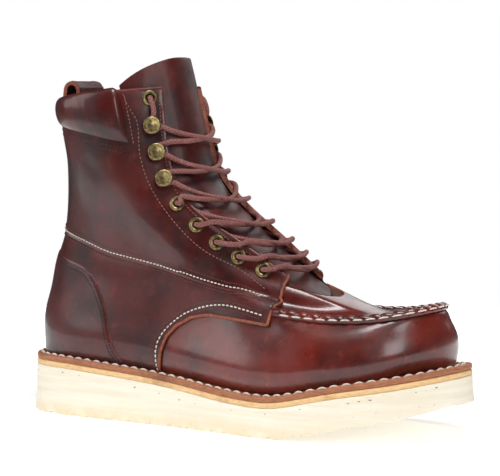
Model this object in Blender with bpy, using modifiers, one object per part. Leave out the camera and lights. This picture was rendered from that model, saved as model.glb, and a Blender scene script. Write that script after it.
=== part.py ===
"""Wedge sole work boot, right foot: a tall lace-up boot with a moccasin toe. Metres, +Z up, toe towards +X."""
import math

import bmesh
import bpy
import numpy as np
from mathutils import Matrix, Vector

# Driving dimensions
LENGTH = 0.302
BALL_WIDTH = 0.112
SHAFT_WIDTH = 0.084
COLLAR_HEIGHT = 0.201
HEEL_THICKNESS = 0.0300
FOREFOOT_THICKNESS = 0.0180
TOE_SPRING = 0.0215
MIDSOLE_THICKNESS = 0.0032
WELT_THICKNESS = 0.0034
INSOLE_THICKNESS = 0.0052
WELT_WIDTH = 0.0082
WELT_TOE_EXTRA = 0.0036
SOLE_TUCK = 0.0010
EDGE_STEP = 0.0004
CLEARANCE = 0.0003
INSOLE_EASE = 0.0020

WALL = 0.0020
QUARTER_STEP = 0.0014
SEAM_RISE = 0.0016
PLUG_DROP = 0.0024
CUFF_OUT = 0.0034
CUFF_IN = 0.0030
THROAT_GAP = 0.0450

TONGUE_THICKNESS = 0.0024
TONGUE_RISE = 0.0180
TONGUE_SLACK = 0.0005
TONGUE_ROOT_REACH = 0.100
TONGUE_TOP_REACH = 0.185

LACE_DIAMETER = 0.0034
LACE_EASE = 0.0010
LACE_ARM = 0.55
LACE_TURN = 0.65
STAY_SEAT = 0.0009
EYELET_DIAMETER = 0.0098
EYELET_BORE = 0.0050
EYELET_HEIGHT = 0.0012
HOOK_DIAMETER = 0.0110
HOOK_HEIGHT = 0.0056
HOOK_NECK = 0.0040
HOOK_PLATE = 0.0013
HOOK_FOOT = 0.8

LOOP_WIDTH = 0.0280
LOOP_STRAP = 0.0020
LOOP_SPAN = 0.0100
LOOP_HEIGHT = 0.0110
LOOP_TAIL = 0.0140
LOOP_LEAN = 0.0010

GROOVE_COUNT = 13
GROOVE_WIDTH = 0.0030
GROOVE_DEPTH = 0.0015

# Sole outline: (x as a share of LENGTH, lateral and medial half width as shares of BALL_WIDTH)
SOLE_OUTLINE = (
    (0.000, 0.000, 0.000),
    (0.020, 0.196, 0.196),
    (0.060, 0.286, 0.281),
    (0.120, 0.335, 0.330),
    (0.200, 0.362, 0.348),
    (0.350, 0.388, 0.330),
    (0.500, 0.442, 0.353),
    (0.620, 0.491, 0.420),
    (0.715, 0.509, 0.480),
    (0.800, 0.478, 0.487),
    (0.880, 0.393, 0.446),
    (0.945, 0.259, 0.366),
    (0.985, 0.080, 0.223),
    (1.000, -0.071, 0.071),
)
# Share of LENGTH that stands flat on the floor
SOLE_FLAT = 0.66
# Underside: (share of LENGTH, share of TOE_SPRING)
SOLE_BOTTOM = (
    (0.00, 0.00), (0.60, 0.00), (SOLE_FLAT, 0.00), (0.73, 0.16),
    (0.81, 0.40), (0.89, 0.63), (0.95, 0.83), (1.00, 1.00),
)
# Outsole thickness: (share of LENGTH, share of the way from forefoot to heel thickness)
SOLE_WEDGE = (
    (0.00, 1.02), (0.12, 0.94), (0.23, 0.76), (0.33, 0.57), (0.44, 0.31), (0.53, 0.08),
    (0.60, 0.00), (0.70, 0.05), (0.80, 0.06), (0.90, -0.04), (1.00, -0.16),
)
# Centre line of the last: (share of LENGTH, sideways share of BALL_WIDTH, medial is positive)
SWING = (
    (0.00, 0.0), (0.20, -0.007), (0.35, -0.029), (0.50, -0.045), (0.62, -0.036),
    (0.72, -0.011), (0.80, 0.006), (0.88, 0.028), (0.945, 0.054), (1.00, 0.071),
)
# Dip of a ring between heel and toe: (share of the way along the ring, share of the ring's dip)
DIP = ((0.0, 0.0), (0.50, 0.08), (0.66, 0.40), (0.83, 1.0), (0.94, 0.50), (1.0, 0.0))
# Places along a ring, from its back to its front, where the table below gives half widths
STATIONS = (0.03, 0.12, 0.28, 0.46, 0.64, 0.80, 0.92, 0.98)
# Rings of the last above the featherline. Columns: back and front (shares of LENGTH), rise at the back and
# at the front (shares of the collar's rise), follow (how far the ring copies the sole's curve), dip (share of
# the collar's rise), swing, shaft (0 for widths in BALL_WIDTH, 1 in SHAFT_WIDTH), then the half widths
RINGS = (
    (0.024, 0.964, 0.059, 0.055, 0.92, -0.006, 1.00, 0.0, 0.183, 0.290, 0.317, 0.339, 0.424, 0.442, 0.339, 0.188),
    (0.024, 0.962, 0.152, 0.125, 0.78, -0.019, 0.95, 0.0, 0.179, 0.281, 0.312, 0.330, 0.411, 0.424, 0.321, 0.179),
    (0.040, 0.950, 0.257, 0.189, 0.60, -0.031, 0.90, 0.0, 0.174, 0.268, 0.295, 0.312, 0.375, 0.379, 0.286, 0.161),
    (0.051, 0.937, 0.350, 0.231, 0.40, -0.041, 0.80, 0.0, 0.170, 0.259, 0.281, 0.299, 0.326, 0.299, 0.241, 0.143),
    (0.071, 0.868, 0.449, 0.227, 0.22, -0.025, 0.70, 0.2, 0.179, 0.273, 0.296, 0.305, 0.291, 0.235, 0.169, 0.099),
    (0.088, 0.762, 0.548, 0.254, 0.10, -0.006, 0.60, 0.4, 0.198, 0.298, 0.327, 0.327, 0.307, 0.256, 0.193, 0.129),
    (0.094, 0.672, 0.635, 0.325, 0.03, 0.000, 0.45, 0.6, 0.210, 0.326, 0.368, 0.368, 0.326, 0.270, 0.231, 0.162),
    (0.098, 0.570, 0.721, 0.455, 0.00, 0.000, 0.30, 0.8, 0.223, 0.357, 0.413, 0.418, 0.369, 0.305, 0.262, 0.176),
    (0.099, 0.487, 0.802, 0.579, 0.00, 0.000, 0.15, 1.0, 0.238, 0.393, 0.458, 0.470, 0.419, 0.333, 0.274, 0.181),
    (0.094, 0.427, 0.876, 0.715, 0.00, 0.000, 0.00, 1.0, 0.238, 0.393, 0.470, 0.488, 0.442, 0.339, 0.256, 0.163),
    (0.091, 0.401, 0.944, 0.882, 0.00, 0.000, 0.00, 1.0, 0.238, 0.399, 0.482, 0.500, 0.454, 0.339, 0.238, 0.151),
    (0.088, 0.377, 1.000, 1.062, 0.00, 0.000, 0.00, 1.0, 0.238, 0.405, 0.494, 0.512, 0.460, 0.345, 0.232, 0.145),
)
SEAM_RING = 4.0
THROAT_RING = 7.0
CUFF_RING = 10.55
TOP_RING = 12.0
WALL_ROWS = (
    0.0, 0.55, 1.1, 1.8, 2.5, 3.2, 3.75, 4.0, 4.22, 4.6, 5.1, 5.7, 6.4, 7.0,
    7.7, 8.4, 9.1, 9.8, 10.35, 10.6, 10.95, 11.35, 11.75, 12.0,
)
OVERLAY_ROWS = (
    0.12, 0.9, 1.8, 2.7, 3.5, 4.2, 4.7, 5.3, 6.0, 6.5, 6.9, 7.3, 7.7, 8.2, 8.8, 9.5,
    10.3, 10.6, 10.95, 11.35, 11.75, 11.94,
)
SIDE_COLUMNS = 19
FRONT_COLUMNS = 8
# Front edge of the quarters in side view: (share of LENGTH, share of COLLAR_HEIGHT)
QUARTER_EDGE = (
    (0.368, 0.10), (0.379, 0.227), (0.393, 0.278), (0.414, 0.311), (0.450, 0.341), (0.496, 0.351),
    (0.547, 0.347), (0.600, 0.340), (0.639, 0.335), (0.644, 0.388), (0.645, 0.427), (0.655, 0.470), (0.760, 0.580),
)
# Half gaps of the throat: (ring, lateral and medial as shares of THROAT_GAP)
THROAT = (
    (0.0, 0.42, 0.45),
    (6.0, 0.42, 0.45),
    (7.2, 0.42, 0.46),
    (8.0, 0.50, 0.50),
    (8.8, 0.56, 0.52),
    (10.0, 0.54, 0.53),
    (11.0, 0.51, 0.53),
    (12.0, 0.46, 0.54),
)
# Where the lace holds, from the lowest eyelet up: (share of LENGTH, share of COLLAR_HEIGHT, kind)
LACE_STAYS = (
    (0.596, 0.487, "eyelet"),
    (0.543, 0.526, "eyelet"),
    (0.494, 0.567, "eyelet"),
    (0.448, 0.618, "eyelet"),
    (0.402, 0.681, "eyelet"),
    (0.368, 0.753, "hook"),
    (0.347, 0.839, "hook"),
    (0.335, 0.922, "hook"),
    (0.328, 1.008, "eyelet"),
)

OUTLINE_STEPS = 720
PLATE_STATIONS = 38


def cubic(knots, values, at, closed=False):
    """Cubic spline through values at knots. A closed one repeats its first value at the last knot."""
    knots = np.asarray(knots, float)
    values = np.asarray(values, float)
    at = np.asarray(at, float)
    last = len(knots) - 1
    flat = values.reshape(last + 1, -1)
    step = np.diff(knots)
    slope = np.diff(flat, axis=0) / step[:, None]
    system = np.eye(last + 1)
    right = np.zeros_like(flat)
    for i in range(1, last):
        system[i, i - 1 : i + 2] = step[i - 1], 2 * (step[i - 1] + step[i]), step[i]
        right[i] = 6 * (slope[i] - slope[i - 1])
    if closed:
        system[0] = 0
        system[0, 0] = 2 * (step[0] + step[-1])
        system[0, 1] = step[0]
        system[0, last - 1] = step[-1]
        right[0] = 6 * (slope[0] - slope[-1])
        system[last, 0] = -1
    bend = np.linalg.solve(system, right)
    i = np.clip(np.searchsorted(knots, at, side="right") - 1, 0, last - 1)
    run = (at - knots[i])[:, None]
    wide = step[i][:, None]
    first = flat[i]
    rate = (flat[i + 1] - first) / wide - wide * (2 * bend[i] + bend[i + 1]) / 6
    curve = first + run * rate + run**2 * bend[i] / 2 + run**3 * (bend[i + 1] - bend[i]) / (6 * wide)
    return curve.reshape((len(at),) + values.shape[1:])


def along(table, share, column=1):
    """Value of one column of a table at each share of its first column."""
    rows = np.array([[row[0], row[column]] for row in table])
    share = np.atleast_1d(np.clip(share, rows[0, 0], rows[-1, 0]))
    return cubic(rows[:, 0], rows[:, 1], share)


def smooth(low, high, at):
    """0 below low, 1 above high, and a soft step between."""
    share = np.clip((np.asarray(at, float) - low) / (high - low), 0, 1)
    return share * share * (3 - 2 * share)


def outline(inset):
    """Closed outline of the sole in plan, from the back of the heel over the lateral side, set in by inset."""
    rows = np.array(SOLE_OUTLINE)
    lateral = np.c_[rows[:, 0] * LENGTH, -rows[:, 1] * BALL_WIDTH]
    medial = np.c_[rows[:, 0] * LENGTH, rows[:, 2] * BALL_WIDTH][-2:0:-1]
    corners = np.concatenate([lateral, medial, lateral[:1]])
    knots = np.r_[0, np.cumsum(np.linalg.norm(np.diff(corners, axis=0), axis=1))]
    at = np.linspace(0, knots[-1], OUTLINE_STEPS + 1)[:-1]
    points = cubic(knots, corners, at, closed=True)
    ahead = np.roll(points, -1, axis=0) - np.roll(points, 1, axis=0)
    inward = np.c_[-ahead[:, 1], ahead[:, 0]] / np.linalg.norm(ahead, axis=1)[:, None]
    toe = smooth(0.80, 1.0, points[:, 0] / LENGTH) * smooth(SOLE_TUCK, WELT_WIDTH, inset)
    return points + inward * (inset + WELT_TOE_EXTRA * toe)[:, None]


def sides(inset, shares=None):
    """x, lateral y and medial y of the inset outline at shares of its own length."""
    points = outline(inset)
    toe = int(points[:, 0].argmax())
    heel = int(points[:, 0].argmin())
    points = np.roll(points, -heel, axis=0)
    toe = (toe - heel) % len(points)
    lateral = points[: toe + 1]
    medial = np.concatenate([points[toe:], points[:1]])[::-1]
    if shares is None:
        shares = 0.5 - 0.5 * np.cos(np.linspace(0, math.pi, PLATE_STATIONS + 1))
    x = lateral[0, 0] + np.asarray(shares) * (lateral[-1, 0] - lateral[0, 0])
    return x, np.interp(x, lateral[:, 0], lateral[:, 1]), np.interp(x, medial[:, 0], medial[:, 1])


def sole_bottom(x):
    return along(SOLE_BOTTOM, x / LENGTH) * TOE_SPRING * (np.asarray(x) / LENGTH > SOLE_FLAT)


def sole_flare(x):
    """Height at which the outsole's side leaves its flared foot."""
    return sole_bottom(x) + 0.4 * (sole_top(x) - sole_bottom(x))


def sole_top(x):
    wedge = FOREFOOT_THICKNESS + (HEEL_THICKNESS - FOREFOOT_THICKNESS) * along(SOLE_WEDGE, x / LENGTH)
    return along(SOLE_BOTTOM, x / LENGTH) * TOE_SPRING + wedge


def midsole_bottom(x):
    return sole_top(x) + CLEARANCE


def midsole_top(x):
    return midsole_bottom(x) + MIDSOLE_THICKNESS


def welt_bottom(x):
    return midsole_top(x) + CLEARANCE


def welt_top(x):
    return welt_bottom(x) + WELT_THICKNESS


def insole_top(x):
    return welt_bottom(x) + INSOLE_THICKNESS


def featherline(x):
    """Height at which the upper stands on the welt."""
    return welt_top(x) + CLEARANCE


def collar_rise():
    return COLLAR_HEIGHT - featherline(np.zeros(1))[0]


def ring_table():
    """Points of every ring of the last, ring by ring, round from the back over the lateral side."""
    stations = np.r_[0, STATIONS, 1]
    x, lateral, medial = sides(WELT_WIDTH, stations)
    low = np.c_[np.r_[x, x[-2::-1]], np.r_[lateral, medial[-2::-1]], np.zeros(2 * len(x) - 1)]
    low[:, 2] = featherline(low[:, 0])
    rings = [low]
    rise = collar_rise()
    heel = featherline(np.zeros(1))[0]
    for back, front, back_rise, front_rise, follow, dip, swing, shaft, *halves in RINGS:
        unit = BALL_WIDTH * (1 - shaft) + SHAFT_WIDTH * shaft
        half = np.r_[0, np.array(halves) * unit, 0]
        x = (back + stations * (front - back)) * LENGTH
        middle = along(SWING, x / LENGTH) * BALL_WIDTH * swing
        z = follow * featherline(x) + (1 - follow) * heel
        z = z + rise * (back_rise + (front_rise - back_rise) * stations + dip * along(DIP, stations))
        lateral = np.c_[x, middle - half, z]
        medial = np.c_[x, middle + half, z]
        rings.append(np.concatenate([lateral, medial[-2::-1]]))
    return np.array(rings)


class Last:
    """Outer surface of the upper: round is 0 at the heel, 0.5 at the toe; ring is 0 at the welt, 12 at the top."""

    def __init__(self):
        rings = ring_table()
        chord = np.linalg.norm(np.diff(rings, axis=1), axis=2).mean(axis=0)
        self.round_knots = np.r_[0, np.cumsum(chord)] / chord.sum()
        rise = np.linalg.norm(np.diff(rings, axis=0), axis=2).mean(axis=1)
        self.ring_knots = np.r_[0, np.cumsum(rise)]
        self.rings = np.swapaxes(rings, 0, 1)

    def point(self, turn, ring):
        """Points at equally long arrays of places round and ring numbers. Past the top it runs straight on."""
        turn = np.asarray(turn, float)
        ring = np.asarray(ring, float)
        columns = cubic(self.round_knots, self.rings, turn, closed=True)
        knots = self.ring_knots
        numbers = np.arange(len(knots))
        over = np.maximum(ring - TOP_RING, 0) * (knots[-1] - knots[-2])
        at = np.interp(ring, numbers, knots)
        system = splines(knots)
        bends = np.einsum("ij,kjc->kic", system, columns)
        step = np.diff(knots)
        i = np.clip(np.searchsorted(knots, at, side="right") - 1, 0, len(step) - 1)
        k = np.arange(len(turn))
        run = (at - knots[i])[:, None]
        wide = step[i][:, None]
        first = columns[k, i]
        rate = (columns[k, i + 1] - first) / wide - wide * (2 * bends[k, i] + bends[k, i + 1]) / 6
        found = first + run * rate + run**2 * bends[k, i] / 2
        found = found + run**3 * (bends[k, i + 1] - bends[k, i]) / (6 * wide)
        end = (columns[k, -1] - columns[k, -2]) / step[-1] + step[-1] * bends[k, -2] / 6
        return found + over[:, None] * end

    def frame(self, turn, ring):
        """Points and outward normals."""
        turn = np.asarray(turn, float)
        ring = np.asarray(ring, float)
        small = 1e-3
        round_way = self.point((turn + small) % 1, ring) - self.point((turn - small) % 1, ring)
        above = self.point(turn, ring + 10 * small)
        below = self.point(turn, np.maximum(ring - 10 * small, 0))
        normal = np.cross(round_way, above - below)
        return self.point(turn, ring), normal / np.linalg.norm(normal, axis=1)[:, None]

    def offset(self, turn, ring, distance):
        points, normals = self.frame(turn, ring)
        return points + normals * np.asarray(distance, float)[:, None]

    def throat(self, ring, grow=0.0):
        """Places round of the two throat edges at a ring number."""
        found = []
        for low, high, column in ((0.25, 0.5, 1), (0.75, 0.5, 2)):
            gap = along(THROAT, ring, column)[0] * THROAT_GAP + grow
            turns = np.linspace(high, low, 90)
            points = self.point(turns, np.full(90, ring))
            reach = np.abs(points[:, 1] - points[0, 1])
            stop = int(reach.argmax()) + 1
            found.append(float(np.interp(gap, reach[:stop], turns[:stop])))
        return found

    def at_side(self, x, z, medial=False):
        """Place round and ring number of the point seen at x, z from one side."""
        turns = 1 - np.linspace(0.02, 0.48, 47) if medial else np.linspace(0.02, 0.48, 47)
        levels = np.linspace(0, TOP_RING, 97)
        grid = np.meshgrid(turns, levels)
        turn, ring = grid[0].ravel(), grid[1].ravel()
        for width in (0.01, 0.001, 0.0001):
            points = self.point(turn, ring)
            best = int(np.hypot(points[:, 0] - x, points[:, 2] - z).argmin())
            near = np.meshgrid(
                turn[best] + np.linspace(-width, width, 21), ring[best] + np.linspace(-width, width, 21) * 12
            )
            turn, ring = near[0].ravel(), np.clip(near[1].ravel(), 0, TOP_RING)
        points = self.point(turn, ring)
        best = int(np.hypot(points[:, 0] - x, points[:, 2] - z).argmin())
        return float(turn[best]), float(ring[best])


def splines(knots):
    """Matrix that gives the bends of a cubic spline from its values at the knots."""
    step = np.diff(knots)
    count = len(knots)
    left = np.eye(count)
    right = np.zeros((count, count))
    for i in range(1, count - 1):
        left[i, i - 1 : i + 2] = step[i - 1], 2 * (step[i - 1] + step[i]), step[i]
        right[i, i - 1 : i + 2] = 6 / step[i - 1], -6 / step[i - 1] - 6 / step[i], 6 / step[i]
    return np.linalg.solve(left, right)


LAST = Last()
CENTRE = outline(0.0)
CENTRE = (CENTRE.max(axis=0) + CENTRE.min(axis=0)) / 2
SHIFT = np.array([CENTRE[0], CENTRE[1], 0.0])


def cuff(x, ring):
    """How much of the padded collar is there, from 0 to 1."""
    swell = np.sin(math.pi * np.clip((ring - CUFF_RING) / (TOP_RING + 0.25 - CUFF_RING), 0, 1)) ** 0.6
    front = 1 - smooth(0.27 * LENGTH, 0.32 * LENGTH, x)
    return swell * front


def seam_relief(x, ring):
    """Height of the moccasin seam over the last, and of the plug that it frames."""
    ridge = SEAM_RISE * np.exp(-(((ring - SEAM_RING) / 0.16) ** 2))
    sunk = smooth(SEAM_RING, SEAM_RING + 0.25, ring) * (1 - smooth(SEAM_RING + 0.3, SEAM_RING + 2.2, ring))
    return (ridge - PLUG_DROP * sunk) * smooth(0.60 * LENGTH, 0.66 * LENGTH, x)


def off_last(turn, ring, distance):
    """Points at a distance over the last that depends on their x, and never below the featherline."""
    turn, ring = np.asarray(turn, float), np.asarray(ring, float)
    x = LAST.point(turn, ring)[:, 0]
    points = LAST.offset(turn, ring, seam_relief(x, ring) + distance(x, ring))
    points[:, 2] = np.maximum(points[:, 2], featherline(points[:, 0]) + CLEARANCE / 2)
    return points


def outer(turn, ring, extra=0.0):
    return off_last(turn, ring, lambda x, ring: CUFF_OUT * cuff(x, ring) + extra)


def inner(turn, ring, extra=0.0):
    return off_last(turn, ring, lambda x, ring: -WALL - CUFF_IN * cuff(x, ring) - extra)


def quarter_skin(turn, ring):
    return outer(turn, ring, QUARTER_STEP)


def wall_core(turn, ring):
    return outer(turn, ring, -WALL / 2)


def material(name, colour, roughness, metallic=0.0):
    found = bpy.data.materials.new(name)
    found.use_nodes = True
    shader = found.node_tree.nodes["Principled BSDF"]
    shader.inputs["Base Color"].default_value = (*colour, 1.0)
    shader.inputs["Roughness"].default_value = roughness
    shader.inputs["Metallic"].default_value = metallic
    return found


def add(name, mesh, finish, collection):
    made = bpy.data.objects.new(name, mesh)
    collection.objects.link(made)
    if finish:
        mesh.materials.append(finish)
        mesh.shade_smooth()
        mesh.set_sharp_from_angle(angle=math.radians(35))
    return made


def mesh_of(points, faces, name):
    """Mesh from points in the sole's own frame, with its faces turned outwards."""
    mesh = bpy.data.meshes.new(name)
    mesh.from_pydata([tuple(point - SHIFT) for point in points], [], faces)
    work = bmesh.new()
    work.from_mesh(mesh)
    bmesh.ops.recalc_face_normals(work, faces=work.faces)
    if work.calc_volume(signed=True) < 0:
        bmesh.ops.reverse_faces(work, faces=work.faces)
    work.to_mesh(mesh)
    work.free()
    return mesh


def plate(name, levels):
    """Solid through levels, each an inset of the outline and its height as a function of x."""
    count = PLATE_STATIONS
    rings = []
    for inset, height in levels:
        x, lateral, medial = sides(inset)
        z = height(x)
        rings.append(np.concatenate([np.c_[x, lateral, z], np.c_[x, medial, z][-2:0:-1]]))
    size = len(rings[0])
    faces = []
    for level in range(len(rings) - 1):
        for i in range(size):
            j = (i + 1) % size
            faces.append((level * size + i, level * size + j, (level + 1) * size + j, (level + 1) * size + i))
    for start in (0, (len(rings) - 1) * size):
        for i in range(count):
            across = [i, i + 1, (size - i - 1) % size, (size - i) % size]
            kept = list(dict.fromkeys(start + k for k in across))
            faces.append(tuple(kept))
    return mesh_of(np.concatenate(rings), faces, name)


def band(name, levels):
    """Closed band round the sole through levels of inset and height, joined last to first."""
    rings = []
    for inset, height in levels:
        x, lateral, medial = sides(inset)
        z = height(x)
        rings.append(np.concatenate([np.c_[x, lateral, z], np.c_[x, medial, z][-2:0:-1]]))
    size = len(rings[0])
    faces = []
    for level in range(len(rings)):
        after = (level + 1) % len(rings)
        for i in range(size):
            j = (i + 1) % size
            faces.append((level * size + i, level * size + j, after * size + j, after * size + i))
    return mesh_of(np.concatenate(rings), faces, name)


def shell(name, rows, outside, inside, grow=0.0):
    """Wall between two offsets of the last, open at the bottom and top and along the throat."""
    width = 2 * SIDE_COLUMNS + FRONT_COLUMNS
    turns = []
    for row in rows:
        lateral, medial = LAST.throat(min(row, TOP_RING), grow)
        turns.append(
            np.r_[
                np.linspace(0, lateral, SIDE_COLUMNS + 1),
                np.linspace(lateral, medial, FRONT_COLUMNS + 1)[1:-1],
                np.linspace(medial, 1, SIDE_COLUMNS + 1)[:-1],
            ]
        )
    turn = np.concatenate(turns)
    ring = np.repeat(rows, width)
    points = np.concatenate([outside(turn, ring), inside(turn, ring)])
    front = range(SIDE_COLUMNS, SIDE_COLUMNS + FRONT_COLUMNS)
    half = len(turn)
    faces = []
    for r in range(len(rows) - 1):
        for c in range(width):
            if c in front and rows[r + 1] > THROAT_RING:
                continue
            d = (c + 1) % width
            low, high = r * width, (r + 1) * width
            faces.append((low + c, low + d, high + d, high + c))
            faces.append((half + low + c, half + high + c, half + high + d, half + low + d))
    edges = {}
    for face in faces:
        for a, b in zip(face, face[1:] + face[:1]):
            edges[(a, b)] = edges.get((a, b), 0) + 1
    for a, b in [edge for edge in edges if edge[::-1] not in edges and max(edge) < half]:
        faces.append((b, a, a + half, b + half))
    used = sorted({k for face in faces for k in face})
    order = {k: i for i, k in enumerate(used)}
    return mesh_of(points[used], [tuple(order[k] for k in face) for face in faces], name)


def quarter_prism(name):
    """Prism over everything behind the quarters' front edge, as seen from the side."""
    rise = COLLAR_HEIGHT
    edge = [(x * LENGTH, z * rise) for x, z in QUARTER_EDGE]
    edge += [(0.72 * LENGTH, 1.3 * rise), (-0.1 * LENGTH, 1.3 * rise), (-0.1 * LENGTH, 0.05 * rise)]
    edge += [(QUARTER_EDGE[0][0] * LENGTH, 0.05 * rise)]
    count = len(edge)
    points = [(x, y * BALL_WIDTH, z) for y in (-0.8, 0.8) for x, z in edge]
    faces = [tuple(range(count)), tuple(range(2 * count - 1, count - 1, -1))]
    faces += [(i, (i + 1) % count, count + (i + 1) % count, count + i) for i in range(count)]
    return mesh_of(np.array(points), faces, name)


def boolean(target, cutter, operation):
    change = target.modifiers.new(cutter.name, "BOOLEAN")
    change.operation = operation
    change.solver = "EXACT"
    change.object = cutter


def as_mesh(made, name):
    """Welded mesh of an object as the viewport shows it. The object is removed."""
    bpy.context.view_layer.update()
    graph = bpy.context.evaluated_depsgraph_get()
    mesh = bpy.data.meshes.new_from_object(made.evaluated_get(graph))
    mesh.name = name
    work = bmesh.new()
    work.from_mesh(mesh)
    bmesh.ops.remove_doubles(work, verts=work.verts, dist=1e-6)
    bmesh.ops.recalc_face_normals(work, faces=work.faces)
    work.to_mesh(mesh)
    work.free()
    bpy.data.objects.remove(made)
    return mesh


def helper(name, mesh, collection):
    made = add(name, mesh, None, collection)
    made.hide_render = True
    made.display_type = "WIRE"
    return made


def build_sole(parts, cutters, finishes):
    levels = ((0.0, sole_bottom), (SOLE_TUCK, sole_flare), (SOLE_TUCK, sole_top))
    outsole = add("outsole", plate("outsole", levels), finishes["rubber"], parts)
    grooves = bmesh.new()
    pitch = LENGTH / (GROOVE_COUNT + 1)
    size = Matrix.Diagonal((GROOVE_WIDTH, 1.4 * BALL_WIDTH, 2 * GROOVE_DEPTH, 1))
    for k in range(GROOVE_COUNT):
        x = (k + 1) * pitch
        back, front = sole_bottom(np.array([x - GROOVE_WIDTH, x + GROOVE_WIDTH]))
        tilt = Matrix.Rotation(-math.atan2(front - back, 2 * GROOVE_WIDTH), 4, "Y")
        place = Matrix.Translation(Vector((x - SHIFT[0], 0, (front + back) / 2)))
        bmesh.ops.create_cube(grooves, size=1, matrix=place @ tilt @ size)
    mesh = bpy.data.meshes.new("tread_grooves")
    grooves.to_mesh(mesh)
    grooves.free()
    boolean(outsole, helper("tread_grooves", mesh, cutters), "DIFFERENCE")

    edge = SOLE_TUCK + EDGE_STEP
    midsole = plate("midsole", ((edge, midsole_bottom), (edge, midsole_top)))
    add("midsole", midsole, finishes["midsole"], parts)
    hidden = WELT_WIDTH + WALL
    welt = band(
        "welt", ((edge, welt_bottom), (edge, welt_top), (hidden, welt_top), (hidden, welt_bottom))
    )
    add("welt", welt, finishes["welt"], parts)
    inside = hidden + INSOLE_EASE
    add("insole", plate("insole", ((inside, welt_bottom), (inside, insole_top))), finishes["insole"], parts)


def build_upper(parts, cutters, finishes):
    upper = add("upper", shell("upper", WALL_ROWS, outer, inner), finishes["leather"], parts)
    quarters = helper("quarters", shell("quarters", OVERLAY_ROWS, quarter_skin, wall_core, WALL / 4), cutters)
    boolean(quarters, helper("quarter_outline", quarter_prism("quarter_outline"), cutters), "INTERSECT")
    boolean(upper, quarters, "UNION")


def tongue_point(across, ring):
    """Place round and depth of the tongue's outer face. across is -1 at its lateral edge and 1 at its medial one."""
    reach = TONGUE_ROOT_REACH + (TONGUE_TOP_REACH - TONGUE_ROOT_REACH) * smooth(6.5, 11.0, ring)
    turn = 0.5 + across * reach
    x = LAST.point(turn, ring)[:, 0]
    depth = WALL + CUFF_IN * cuff(x, np.minimum(ring, TOP_RING)) + TONGUE_SLACK
    return turn, depth


def build_tongue(parts, finishes):
    columns = np.linspace(-1, 1, 11)
    shares = np.r_[0.0, np.linspace(0.08, 0.88, 10), 0.95, 1.0]
    base = THROAT_RING - 0.8
    collar, above = LAST.point([0.5, 0.5], [TOP_RING, TOP_RING + 1])
    over = TONGUE_RISE / (above[2] - collar[2])
    outside, inside = [], []
    for share in shares:
        for across in columns:
            top = TOP_RING + over * (1 - 0.75 * abs(across) ** 2.6)
            ring = np.array([base + share * (top - base)])
            turn, depth = tongue_point(np.array([across]), ring)
            outside.append(LAST.offset(turn, ring, -depth)[0])
            inside.append(LAST.offset(turn, ring, -depth - TONGUE_THICKNESS)[0])
    width, height = len(columns), len(shares)
    half = width * height
    faces = []
    for r in range(height - 1):
        for c in range(width - 1):
            a, b, d, e = r * width + c, r * width + c + 1, (r + 1) * width + c + 1, (r + 1) * width + c
            faces += [(a, b, d, e), (half + a, half + e, half + d, half + b)]
    rim = [*range(width), *range(2 * width - 1, half, width)]
    rim += [*range(half - 2, half - width - 1, -1), *range(half - 2 * width, 0, -width)]
    for a, b in zip(rim, rim[1:] + rim[:1]):
        faces.append((b, a, half + a, half + b))
    add("tongue", mesh_of(np.array(outside + inside), faces, "tongue"), finishes["leather"], parts)


def stay_frames():
    """For each stay and side: its side, kind, number, seat, normal, place round and ring number."""
    found = []
    angles = np.tile(np.linspace(0, 2 * math.pi, 13)[:-1], 3)
    spans = {"eyelet": (EYELET_BORE / 2, EYELET_DIAMETER / 2), "hook": (0, HOOK_FOOT * HOOK_DIAMETER / 2)}
    for side in ("lateral", "medial"):
        count = {"eyelet": 0, "hook": 0}
        for x, z, kind in LACE_STAYS:
            count[kind] += 1
            turn, ring = LAST.at_side(x * LENGTH, z * COLLAR_HEIGHT, side == "medial")
            step = 1e-3
            round_rate = np.linalg.norm(np.diff(LAST.point([turn, turn + step], [ring, ring]), axis=0)) / step
            ring_rate = np.linalg.norm(np.diff(LAST.point([turn, turn], [ring, ring + step]), axis=0)) / step
            radii = np.repeat(np.linspace(*spans[kind], 3), 12)
            turns = turn + radii * np.cos(angles) / round_rate
            rings = np.minimum(ring + radii * np.sin(angles) / ring_rate, TOP_RING)
            under = outer(turns, rings, QUARTER_STEP)
            point = outer([turn], [ring], QUARTER_STEP)[0]
            rim = under[-12:]
            normal = np.cross(rim[0] - rim[6], rim[3] - rim[9])
            normal *= np.sign(normal @ LAST.frame([turn], [ring])[1][0]) / np.linalg.norm(normal)
            height = float(((under - point) @ normal).max())
            found.append((side, kind, count[kind], point + normal * height, normal, turn, ring))
    return found


def turned(name, profile, steps, finish, collection):
    """Mesh turned round Z from a profile of (radius, height) that runs down its outer side."""
    work = bmesh.new()
    corners = [work.verts.new((radius, 0, height)) for radius, height in profile]
    for here, there in zip(corners, corners[1:]):
        work.edges.new((here, there))
    if profile[0][0] > 0:
        work.edges.new((corners[-1], corners[0]))
    mesh = bpy.data.meshes.new(name + "_profile")
    work.to_mesh(mesh)
    work.free()
    made = add(name + "_profile", mesh, None, collection)
    screw = made.modifiers.new("turn", "SCREW")
    screw.steps = steps
    screw.render_steps = steps
    screw.use_merge_vertices = True
    screw.merge_threshold = 1e-6
    mesh = as_mesh(made, name)
    mesh.materials.append(finish)
    mesh.shade_smooth()
    mesh.set_sharp_from_angle(angle=math.radians(35))
    return mesh


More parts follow.
